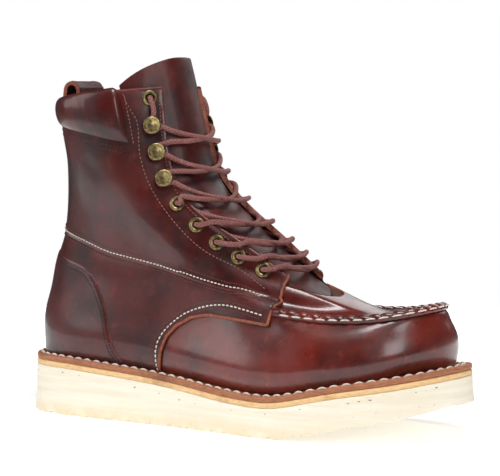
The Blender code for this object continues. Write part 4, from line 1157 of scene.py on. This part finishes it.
def build_seams(seams):
    """The rows of stitches that lie on the panels."""
    made = []
    for name, seam, height, shift, pitch, length, radius, finish in SEAM_ROWS:
        near, far = seams[seam]
        paths = [moved(near, shift * MM), moved(far, -shift * MM)] if shift else [near, far]
        made.append(stitches(name, paths, height, pitch, length, radius, FINISH[finish]))
    collar = even(dense(np.array([(-0.30, 10.33), (0.30, 10.33)])), MM)
    bands = [collar, moved(collar, -3.2 * MM)]
    ends = [even(dense(np.array([(place, 10.5), (place, 11.85)])), MM) for place in (0.324, -0.324)]
    flaps = [moved(even(throat_run(7.2, 11.8, k), MM), shift * MM) for k, shift in ((0, 2.4), (1, -2.4))]
    height = SHAFT_HEIGHT - 0.15 * MM
    made.append(stitches("stitch_collar", bands, height, 2.4, 1.6, 0.34, FINISH["dark"]))
    made.append(stitches("stitch_collar_end", ends, SHAFT_HEIGHT, 2.4, 1.6, 0.36, FINISH["pink"]))
    made.append(stitches("stitch_flap", flaps, SHAFT_HEIGHT, 2.4, 1.6, 0.34, FINISH["pink"]))
    return made


def build_upper():
    """The whole upper: panels, seams, lining, cuff, ridge and beads."""
    seams = [seam_both(seam) for seam in (YOKE_SEAM, ARC_SEAM, COUNTER_SEAM, STAY_SEAM)]
    front = lateral_front()
    made = build_panels(front, seams) + build_seams(seams)
    return made + [build_lining(), build_cuff()] + build_ridge() + build_beads(front)


def build_lining():
    """Inside of the upper, from the welt up to the collar, open along the throat."""
    rows = []
    for ring in np.linspace(0.02, TOP_RING - 0.05, 80):
        near = np.interp(ring, THROAT_RINGS, THROAT_NEAR) if ring > 6.6 else 0.5
        far = np.interp(ring, THROAT_RINGS, THROAT_FAR) - 1 if ring > 6.6 else -0.5
        at = np.linspace(far, near, 190) % 1
        ring_at = np.full(190, ring)
        base = LAST.point(at, ring_at)
        depth = -WALL + flared(at, ring_at) * 0.9 + np.minimum(seam_relief(base[:, 0], ring_at), 0)
        rows.append(LAST.offset(at, ring_at, depth))
    return loft("lining", rows, [FINISH["lining"]], closed=False, smooth_angle=60)


def build_cuff():
    """Padded collar: a full roll from the quarter's top over the rim and down inside."""
    count, columns = 64, 240
    knots = np.arange(len(CUFF_SECTION))
    section = cubic(knots, CUFF_SECTION, np.linspace(0, knots[-1], count))
    grid_turn = np.repeat(np.linspace(-CUFF_END, CUFF_END, columns)[None, :], count, 0)
    share = 1 - np.abs(grid_turn) / CUFF_END
    swell = smooth(0, 0.07, share) ** 0.7
    ripple = 1 + 0.035 * hash_noise(grid_turn * 34, 3) + 0.012 * hash_noise(grid_turn * 90, 8)
    ring = np.repeat(section[:, 0][:, None], columns, 1)
    height = section[:, 1][:, None] * ripple
    outside = QUARTER_STEP * 1000 * 0.7 + (height - 0.98) * swell
    height = np.where(height > 0, outside, -2.0 + (height + 2.0) * swell)
    ring = np.where(ring > 11.6, 11.6 + (ring - 11.6) * (0.65 + 0.35 * swell), ring)
    points = LAST.offset(grid_turn.ravel() % 1, ring.ravel(), height.ravel() * MM)
    slots = np.where(np.arange(count - 1) < 0.62 * count, 0, 1)
    shares = {"edge": np.full(len(points), FAR), "seam": np.full(len(points), FAR)}
    rows = points.reshape(count, columns, 3)
    made = loft("collar_cuff", rows, [FINISH["shaft"], FINISH["lining"]], slots, False, 60, shares)
    return made


def build_ridge():
    """Moccasin seam: a gathered ridge round the toe with its stitches."""
    turns = np.linspace(RIDGE_END, 1 - RIDGE_END, 600)
    ring = np.full(len(turns), SEAM_RING)
    points, normals = LAST.frame(turns, ring)
    points = points + normals * (0.8 * seam_relief(points[:, 0], ring))[:, None]
    run = lengths(points) * 1000
    above = LAST.point(turns, ring + 0.02) - LAST.point(turns, ring - 0.02)
    above /= np.linalg.norm(above, axis=1)[:, None]
    pucker = np.abs(np.sin(math.pi * (run + 0.8 * hash_noise(run / 9, 4)) / RIDGE_PITCH)) ** 0.35
    fade = smooth(0, 0.015, turns - RIDGE_END) * smooth(0, 0.015, 1 - RIDGE_END - turns)
    count = 26
    knots = np.arange(len(RIDGE_SECTION))
    rows = []
    for across, high in cubic(knots, RIDGE_SECTION, np.linspace(0, knots[-1], count)):
        crown = np.clip((high + 0.8) / 3.4, 0, 1)
        tall = high * (0.55 + 0.45 * fade) if high > 0 else high
        tall = tall - 1.5 * crown * (1 - pucker) * fade
        wide = across * (1 - 0.10 * crown * (1 - pucker))
        rows.append(points + above * wide[:, None] * MM + normals * tall[:, None] * MM)
    # The seam value drops in the valleys between the gathers, where the ridge leather paints shade there. It
    # stays high where the ridge fades out.
    shares = {
        "edge": np.full(count * len(turns), FAR),
        "seam": np.tile(3.2 * pucker + 3 * (1 - fade), count),
    }
    ridge = loft("moccasin_ridge", rows, [FINISH["ridge"]], closed=False, smooth_angle=70, shares=shares)
    made = [ridge]
    for name, offset, lift, lean, low, high in RIDGE_STITCHES:
        keep = (turns > low) & (turns < high)
        line = points + above * offset * MM + normals * lift * MM
        knots = run[keep] * MM
        at = dashes(knots[0] + 1 * MM, knots[-1] - 6 * MM, RIDGE_PITCH * MM, RIDGE_DASH * MM, 6)
        rise = np.sin(np.linspace(0, math.pi, 6)) * 0.55 * MM - 0.15 * MM
        ups = sample(at, knots, (normals + above * lean)[keep])
        lines = sample(at, knots, line[keep]) + ups * rise[None, :, None]
        radii = np.array([0.5, 1, 1, 1, 1, 0.5]) * 0.52 * MM
        made.append(tubes(name, lines, ups, radii, FINISH["white"]))
    return made


def build_beads(front):
    """Rolled raw edge down the front of both quarters, and the dark binding along the shaft's top."""
    made = []
    for name, rows in (("bead_lateral", front), ("bead_medial", mirrored(front))):
        path = even(dense(rows[1:]), 1.2 * MM)
        points, normals = spot(path[:, 0], path[:, 1], 1.02 * MM)
        made.append(tubes(name, [points], [normals], 0.95 * MM, FINISH["raw"], 10))
    end = CUFF_END - 0.012
    lateral, medial = np.linspace(end, THROAT_NEAR[-1], 70), np.linspace(THROAT_FAR[-1] - 1, -end, 70)
    for name, turns in (("binding_lateral", lateral), ("binding_medial", medial)):
        points, normals = spot(turns, np.full(70, TOP_RING - 0.05), 0.0)
        made.append(tubes(name, [points], [normals], 1.7 * MM, FINISH["tongue"], 10))
    return made


def thicken(made, thickness, offset):
    """Gives a sheet of leather its thickness and soft raw edges."""
    solid = made.modifiers.new("leather", "SOLIDIFY")
    solid.thickness = thickness
    solid.offset = offset
    solid.material_offset_rim = 1
    bevel = made.modifiers.new("edge", "BEVEL")
    bevel.width = 0.5 * MM
    bevel.segments = 2
    bevel.angle_limit = math.radians(60)


def build_tongue():
    """Sheet of the tongue, with soft gathers under the laces."""
    columns = np.linspace(-1, 1, 61)
    collar, above = LAST.point([0.5, 0.5], [TOP_RING, TOP_RING + 1])
    past = TONGUE_RISE / (above[2] - collar[2])
    base = THROAT_RING - 1.15
    middle = np.exp(-((columns / 0.5) ** 2))
    rows = []
    for share in np.linspace(0, 1, 120):
        top = TOP_RING + past * (1 - 0.75 * np.abs(columns) ** 2.6)
        ring = base + share * (top - base)
        turn, depth = tongue_point(columns * (1 + 0.6 * (1 - smooth(6.4, 7.6, ring))), ring)
        sunk = 2.2 * MM * (1 - smooth(0, 0.14, share))
        wave = 0.35 * MM * hash_noise(ring * 1.7 + columns * 0.8, 5) * (1 - np.abs(columns) ** 2)
        laced = smooth(7, 7.5, ring) * (1 - smooth(9, 10, ring))
        gather = 0.5 * MM * middle * np.sin(ring * 5.2) * laced
        rows.append(LAST.offset(turn, ring, -depth - sunk + wave + gather))
    shares = {"edge": np.full(61 * 120, FAR)}
    made = loft("tongue_sheet", rows, [FINISH["tongue"], FINISH["raw"]], None, False, 60, shares)
    thicken(made, TONGUE_THICKNESS - 0.3 * MM, -1)
    return made


def build_loop():
    """Folded strap at the back of the collar, and its stitches."""
    top = LAST.point([0.0], [TOP_RING])[0]
    rim = top[2] + CLEARANCE
    outer_x = top[0] - CUFF_OUT / 2
    radius = LOOP_SPAN / 2
    path = [(outer_x - back * MM, rim - down * MM) for back, down in ((1.6, 16), (1.8, 8), (0.8, 0))]
    middle = (outer_x + radius, rim + LOOP_HEIGHT - radius)
    for angle in np.linspace(math.pi, 0, 9):
        path.append((middle[0] + radius * math.cos(angle), middle[1] + radius * math.sin(angle)))
    path.append((outer_x + LOOP_SPAN + LOOP_LEAN, rim - LOOP_TAIL))
    path = cubic(np.arange(len(path)), np.array(path), np.linspace(0, len(path) - 1, 70))
    across = np.linspace(-1, 1, 25)
    bow = 0.6 * MM * across**2
    y = across * LOOP_WIDTH / 2 + top[1]
    rows = [np.c_[np.full(25, x) + bow, y, np.full(25, z)] for x, z in path]
    shares = {"edge": np.tile(FAR - 8.5 * np.abs(across) ** 6, len(path))}
    made = loft("loop_strap", rows, [FINISH["tongue"], FINISH["raw"]], None, False, 60, shares)
    thicken(made, LOOP_STRAP + 0.6 * MM, 0)
    knots = lengths(path)
    slopes = np.stack([np.gradient(path[:, k], knots) for k in (0, 1)], -1)
    at = dashes(2 * MM, knots[-1] * 0.55, 2.6 * MM, 1.8 * MM, 5)
    x, z = np.moveaxis(sample(at, knots, path), -1, 0)
    slope = sample(at, knots, slopes)
    up = np.stack([-slope[..., 1], np.zeros_like(x), slope[..., 0]], -1)
    lines = []
    for y in (-LOOP_WIDTH / 2 + 2.6 * MM, LOOP_WIDTH / 2 - 2.6 * MM):
        bow = 0.6 * MM * (2 * y / LOOP_WIDTH) ** 2
        line = np.stack([x + bow, np.full_like(x, y + top[1]), z], -1)
        lines.append(line + up * (LOOP_STRAP / 2 + 0.35 * MM))
    tubes("stitch_loop", np.concatenate(lines), np.concatenate([up, up]), 0.34 * MM, FINISH["pink"])
    return made


def stay_mesh(kind):
    """Eyelet with a rolled rim and a near-black disc of painted shade across its bore, or a domed hook,
    turned round Z.
    """
    wide = 48
    angle = np.linspace(0, 2 * math.pi, wide + 1)[:-1]
    bore = EYELET_BORE / 2
    if kind == "eyelet":
        reach = {"rim": EYELET_DIAMETER / 2, "bore": bore}
        profile = EYELET_PROFILE
    else:
        reach = {"rim": HOOK_DIAMETER / 2, "bore": HOOK_NECK / 2}
        profile = HOOK_PROFILE
    rows = np.array([(reach[part] * share * 1000, height) for part, share, height in profile])
    if kind == "eyelet":
        rows = cubic(np.arange(len(rows)), rows, np.linspace(0, len(rows) - 1, 4 * len(rows)))
    points = np.array([(r * math.cos(a), r * math.sin(a), h) for r, h in rows for a in angle]) * MM
    faces = []
    for i in range(len(rows) - 1):
        for j in range(wide):
            here, after = i * wide + j, i * wide + (j + 1) % wide
            faces.append((here, after, after + wide, here + wide))
    slots = [0] * len(faces)
    if kind == "eyelet":
        faces = [face[::-1] for face in faces]
        # A near-black disc closes the bore: painted shade inside the eyelet's hole.
        faces.append(tuple(range(len(points), len(points) + wide)))
        slots.append(1)
        shade_disc = [(bore * 0.98 * math.cos(a), bore * 0.98 * math.sin(a), 0.25 * MM) for a in angle]
        points = np.concatenate([points, np.array(shade_disc)])
    mesh = bpy.data.meshes.new(kind + "_form")
    mesh.from_pydata(points.tolist(), [], faces)
    mesh.materials.append(FINISH["brass"])
    mesh.materials.append(FINISH["shade_disc"])
    mesh.polygons.foreach_set("material_index", slots)
    if kind == "hook":
        work = bmesh.new()
        work.from_mesh(mesh)
        bmesh.ops.recalc_face_normals(work, faces=work.faces)
        work.to_mesh(mesh)
        work.free()
    mesh.shade_smooth()
    mesh.set_sharp_from_angle(angle=math.radians(50))
    return mesh


def build_stays(stays):
    """An eyelet or a hook at the place of each of its nodes."""
    meshes = {kind: stay_mesh(kind) for kind in ("eyelet", "hook")}
    for side, kind, number, point, normal, turn, ring in stays:
        name = f"{kind}_{side}_{number}"
        piece = bpy.data.objects.new("brass_" + name, meshes[kind])
        SCENE.collection.objects.link(piece)
        lift = float(flared(np.array([turn]), np.array([ring]))[0])
        seat = Vector(point - SHIFT + normal * (STAY_SEAT - 0.2 * MM + 0.6 * lift))
        turned = Vector(normal).to_track_quat("Z", "Y").to_matrix().to_4x4()
        piece.matrix_world = Matrix.Translation(seat) @ turned
        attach(piece, "root")
        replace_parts(piece, name)


def edge_turn(side, ring):
    """Signed place round of a flap's edge."""
    if side == "lateral":
        return np.interp(ring, THROAT_RINGS, THROAT_NEAR)
    return np.interp(ring, THROAT_RINGS, THROAT_FAR) - 1


def over(turn, ring, height):
    """Point at a height in millimetres over the last."""
    return spot([turn], [ring], height * MM)[0][0]


def toward(side, ring, normal, seat):
    """Direction from a stay to its flap's edge."""
    way = over(edge_turn(side, ring), ring, 1.4) - seat
    way -= normal * (way @ normal)
    return way / np.linalg.norm(way)


def lace_crossing(seats, near, far, level):
    """Points over the tongue between two stays, from the near flap's edge to the far one."""
    ring0, (target, *_, ring1) = seats[near, level][-1], seats[far, level + 1]
    ring_a = ring0 + 0.34 * (ring1 - ring0) + 0.06
    ring_b = ring0 + 0.92 * (ring1 - ring0)
    edge_a, edge_b = edge_turn(near, ring_a), edge_turn(far, ring_b)
    sign = 1 if near == "lateral" else -1
    points = [over(edge_a - sign * 0.012, ring_a - 0.06, 3.7)]
    points.append(over(edge_a + sign * 0.008, ring_a + 0.02, 4.0))
    low, high = (edge_a, edge_b + 1) if near == "lateral" else (edge_a + 1, edge_b)
    for share, *drops in LACE_ARCH:
        height = (3.9 if level < 4 else 2.9) - drops[near == "lateral"]
        points.append(over((low + (high - low) * share) % 1, ring_a + (ring_b - ring_a) * share, height))
    for past, rise, height in LACE_ENDS[target]:
        points.append(over(edge_b + sign * past, ring_b + rise, height))
    return points


def lace_start(seats, side, level):
    """Points up out of an eyelet and towards its flap's edge."""
    seat, normal, ring = seats[side, level][1:]
    way = toward(side, ring, normal, seat)
    steps = ((-1.6, -0.4), (0.9, 0.0), (2.4, 2.4))
    return [seat + normal * height * MM + way * ahead * MM for height, ahead in steps]


def lace_runs(stays):
    """Centre lines of the lace: over the tongue and under the other flap, then round the hooks."""
    seats = {}
    level = {"lateral": 0, "medial": 0}
    for side, kind, _, point, normal, _, ring in stays:
        seats[side, level[side]] = (kind, point + normal * STAY_SEAT, normal, ring)
        level[side] += 1
    runs = []
    for here, there in (("lateral", "medial"), ("medial", "lateral")):
        for k in range(4):
            near, far = (here, there) if k % 2 == 0 else (there, here)
            runs.append(lace_start(seats, near, k) + lace_crossing(seats, near, far, k))
        near, far = here, there
        run = lace_start(seats, near, 4)
        for k in (4, 5, 6):
            run += lace_crossing(seats, near, far, k)
            seat, normal, ring = seats[far, k + 1][1:]
            way = toward(far, ring, normal, seat)
            up = np.cross(normal, way)
            up *= np.sign(up[2])
            radius = HOOK_NECK / 2 + LACE_DIAMETER / 2 + 0.2 * MM
            centre = seat + normal * 2.3 * MM
            for angle in np.radians((-100, -140, 180, 140, 100)):
                run.append(centre + way * math.cos(angle) * radius + up * math.sin(angle) * radius)
            near, far = far, near
        goal, out = seats[near, 8][1:3]
        run.append((centre + goal) / 2 + way * 1.5 * MM + out * 2.2 * MM)
        run += [goal + out * 2.0 * MM - up * 0.6 * MM, goal + out * 0.4 * MM, goal - out * 1.6 * MM]
        runs.append(run)
    return runs


def build_laces(stays):
    """Round cord along the runs of the lace."""
    lines, ups = [], []
    for run in lace_runs(stays):
        rows = np.array(run)
        knots = np.r_[0, np.cumsum(np.sqrt(np.linalg.norm(np.diff(rows, axis=0), axis=1)))]
        fine = cubic(knots, rows, np.linspace(0, knots[-1], 1200))
        length = lengths(fine)
        line = sample(np.linspace(0, length[-1], 260), length, fine)
        lines.append(line)
        ahead = np.gradient(line, axis=0)
        ahead /= np.linalg.norm(ahead, axis=1)[:, None]
        up = np.array((0.55, -0.35, 0.75))
        frames = []
        for way in ahead:
            up = up - way * (up @ way)
            up /= np.linalg.norm(up)
            frames.append(up)
        ups.append(np.array(frames))
    made = tubes("lace_cord", lines, ups, LACE_DIAMETER / 2, FINISH["lace"], 12, 0.92)
    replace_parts(made, "laces")


def ragged_edge(flat, run):
    """How far the notches and the crumbs of the tread lift the sole's lower edge."""
    x = flat[:, 0]
    medial = np.where(flat[:, 1] < 0, 0.0, 1.0)
    slots = np.zeros(len(x))
    for k in range(1, 20):
        middle = k * NOTCH_PITCH + 2.2 * MM * math.sin(k * 2.7)
        half = (2.0 + 0.8 * math.sin(k * 4.1)) * MM
        slots = np.maximum(slots, smooth(-0.8 * MM, 0.8 * MM, half - np.abs(x - middle + medial * 6 * MM)))
    crumbs = 0.45 * hash_noise(run / (1.7 * MM), 1) + 0.3 * hash_noise(run / (0.8 * MM), 2)
    toe = smooth(0.60 * LENGTH, 0.85 * LENGTH, x)
    return (1.15 * slots * (1 - 0.3 * toe) + (0.35 + 0.5 * toe) * np.maximum(crumbs, 0)) * MM


def build_outsole(flat, run, away):
    """Wedge with a ragged lower edge and slightly uneven sides."""
    x = flat[:, 0]
    lifted = ragged_edge(flat, run)
    bottom, top = sole_bottom(x), sole_top(x)
    spine_x = np.clip(x, 0.06 * LENGTH, 0.94 * LENGTH)
    spine = np.c_[spine_x, along(SWING, spine_x / LENGTH) * BALL_WIDTH]
    rows = []
    for share in (1.0, 0.7, 0.4, 0.2, 0.08, 0.03):
        plan = flat * (1 - share) + spine * share
        groove = lifted * (1 - smooth(0.05, 0.5, share)) + 0.1 * MM
        rows.append(np.c_[plan, sole_bottom(plan[:, 0]) + groove])
    rows.append(np.c_[outline(0.25 * MM), bottom + lifted + 0.1 * MM])
    foot = bottom + lifted + 0.9 * MM
    rows.append(np.c_[flat, foot])
    for share, inset in OUTSOLE_SIDE:
        rough = 0.10 * MM * hash_noise(run / (5 * MM) + share * 9, 11)
        rough = rough + 0.06 * MM * hash_noise(run / (1.6 * MM), 12 + share * 8)
        plan = outline(inset * MM)
        rows.append(np.c_[plan + away(plan) * (rough[:, None] + 0.05 * MM), foot + share * (top - foot)])
    for inset in (1.6, 12):
        plan = outline(inset * MM)
        rows.append(np.c_[plan, sole_top(plan[:, 0])])
    return loft("wedge_outsole", rows, [FINISH["rubber"]], smooth_angle=50)


def build_sole():
    """Outsole, midsole and welt, with the row of stitches round the welt."""
    flat = outline(0.0)
    run = lengths(flat)
    edge = SOLE_TUCK + EDGE_STEP

    def away(plan):
        return (plan - flat) / (np.linalg.norm(plan - flat, axis=1)[:, None] + 1e-9)

    def layer(name, section, low, high, finish, smooth_angle, fuzz=0.0):
        """Strip round the sole from a section of (inset in mm, share of its height)."""
        rows = []
        for inset, level in section:
            plan = outline(edge + inset * MM)
            bottom = low(plan[:, 0])
            rough = away(plan) * np.reshape(fuzz, (-1, 1))
            rows.append(np.c_[plan + rough, bottom + level * (high(plan[:, 0]) - bottom)])
        return loft(name, rows, [FINISH[finish]], smooth_angle=smooth_angle)

    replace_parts(build_outsole(flat, run, away), "outsole")
    fuzz = 0.12 * MM * hash_noise(run / (2.6 * MM), 6)
    midsole = layer("midsole_leather", MIDSOLE_SECTION, lambda x: midsole_bottom(x) - 0.25 * MM, midsole_top,
                    "midsole", 70, fuzz)
    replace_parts(midsole, "midsole")
    welt = layer("welt_strip", WELT_SECTION, lambda x: welt_bottom(x) - 0.2 * MM, welt_top, "welt", 60)
    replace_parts(welt, "welt")
    plan = outline(edge + 3.0 * MM)
    knots = lengths(plan)
    at = dashes(2 * MM, knots[-1] - 7 * MM, WELT_PITCH, WELT_DASH, 7)
    lines = sample(at, knots, plan)
    high = welt_top(lines[..., 0].ravel()).reshape(at.shape)
    lines = np.concatenate([lines, high[..., None]], -1)
    lines[..., 2] += (np.sin(np.linspace(0, math.pi, 7)) * 0.95 - 0.45) * MM
    ups = np.zeros_like(lines)
    ups[..., 2] = 1
    radii = np.array([0.5, 0.9, 1, 1, 1, 0.9, 0.5]) * 0.72 * MM
    tubes("stitch_welt", lines, ups, radii, FINISH["white"], 7)


def build_specks():
    """Small dark marks just proud of the wedge's side."""
    flat = outline(1.0 * MM)
    near = flat[flat[:, 1] < 0.0]
    near = near[np.argsort(near[:, 0])]
    points, faces = [], []
    for k, (x, down, length, tall) in enumerate(SOLE_MARKS):
        x_at = np.array([x - 1, x, x + 1]) * MM
        y = np.interp(x_at, near[:, 0], near[:, 1])
        ahead = np.array((2 * MM, y[2] - y[0], 0))
        ahead /= np.linalg.norm(ahead)
        out = np.array((ahead[1], -ahead[0], 0))
        middle = np.array((x_at[1], y[1], sole_top(x_at[1:2])[0] - down * MM))
        start = len(points)
        points.append(middle + out * 0.35 * MM)
        for i in range(14):
            angle = 2 * math.pi * i / 14
            wobble = 1 + 0.35 * math.sin(3 * angle + k) + 0.2 * math.sin(7 * angle + 2 * k)
            reach = ahead * math.cos(angle) * length / 2 + np.array((0, 0, math.sin(angle) * tall / 2))
            points.append(middle + reach * wobble * MM - out * 0.35 * MM)
        faces += [(start, start + 1 + i, start + 1 + (i + 1) % 14) for i in range(14)]
    to_object("outsole_marks", np.array(points), faces, [FINISH["speck"]], smooth_angle=60)


def add_area(name, place, aim, width, height, power):
    light = bpy.data.lights.new(name, "AREA")
    light.shape = "RECTANGLE"
    light.size, light.size_y = width, height
    light.energy = power
    lamp = bpy.data.objects.new(name, light)
    SCENE.collection.objects.link(lamp)
    lamp.location = place
    lamp.rotation_euler = (Vector(aim) - Vector(place)).to_track_quat("-Z", "Y").to_euler()


def build_camera():
    """Camera fitted to the photograph."""
    azimuth, elevation = math.radians(CAMERA_AZIMUTH), math.radians(CAMERA_ELEVATION)
    flat = math.cos(elevation)
    ahead = Vector((-math.sin(azimuth) * flat, math.cos(azimuth) * flat, -math.sin(elevation)))
    target = Vector(np.array(CAMERA_TARGET) - SHIFT)
    data = bpy.data.cameras.new("camera")
    data.sensor_fit = "HORIZONTAL"
    data.sensor_width = 36
    data.lens = CAMERA_FOCAL / PHOTO_WIDTH * data.sensor_width
    data.shift_x, data.shift_y = (shift / PHOTO_WIDTH for shift in CAMERA_SHIFT)
    data.clip_end = 50
    camera = bpy.data.objects.new("camera", data)
    SCENE.collection.objects.link(camera)
    camera.location = target - ahead * CAMERA_DISTANCE
    camera.rotation_euler = ahead.to_track_quat("-Z", "Y").to_euler()
    SCENE.camera = camera


def build_studio():
    """Soft lights, a white floor that glows towards its rim, and a white world behind a dim one."""
    for light in LIGHTS:
        add_area(*light)
    floor = bpy.data.meshes.new("floor")
    angles = np.linspace(0, 2 * math.pi, 129)[:-1]
    rim = [(FLOOR_RADIUS * math.cos(angle), FLOOR_RADIUS * math.sin(angle), 0) for angle in angles]
    floor.from_pydata(rim, [], [tuple(range(len(rim)))])
    s = Shader("studio_floor")
    far = s.node("ShaderNodeVectorMath", {0: s.place}, operation="LENGTH").outputs["Value"]
    colour = s.blend(s.noise(3, 2), (0.93, 0.93, 0.93), (0.90, 0.90, 0.90))
    glow = s.ramp(far, 0.20, 0.62, 0.38, 1.0)
    s.finish(Base_Color=colour, Roughness=0.9, Emission_Color=(1, 1, 1), Emission_Strength=glow)
    floor.materials.append(s.material)
    ground = bpy.data.objects.new("studio_floor", floor)
    SCENE.collection.objects.link(ground)

    world = bpy.data.worlds.new("studio")
    world.use_nodes = True
    tree = world.node_tree
    tree.nodes.clear()
    out = tree.nodes.new("ShaderNodeOutputWorld")
    mix = tree.nodes.new("ShaderNodeMixShader")
    seen = tree.nodes.new("ShaderNodeLightPath")
    tree.links.new(seen.outputs["Is Camera Ray"], mix.inputs["Fac"])
    for place, (colour, strength) in enumerate(((SKY_COLOUR, SKY_STRENGTH), ((1, 1, 1, 1), 1.0)), 1):
        light = tree.nodes.new("ShaderNodeBackground")
        light.inputs["Color"].default_value = colour
        light.inputs["Strength"].default_value = strength
        tree.links.new(light.outputs[0], mix.inputs[place])
    tree.links.new(mix.outputs[0], out.inputs["Surface"])
    SCENE.world = world
    SCENE.view_settings.view_transform = "Standard"


def main():
    stays = stay_frames()
    for piece in build_upper():
        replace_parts(piece, "upper")
    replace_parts(build_tongue(), "tongue")
    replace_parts(build_loop(), "pull_loop")
    build_stays(stays)
    build_laces(stays)
    build_sole()
    build_specks()
    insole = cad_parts["insole"]
    insole.data.materials.clear()
    insole.data.materials.append(FINISH["insole"])
    build_camera()
    build_studio()


main()
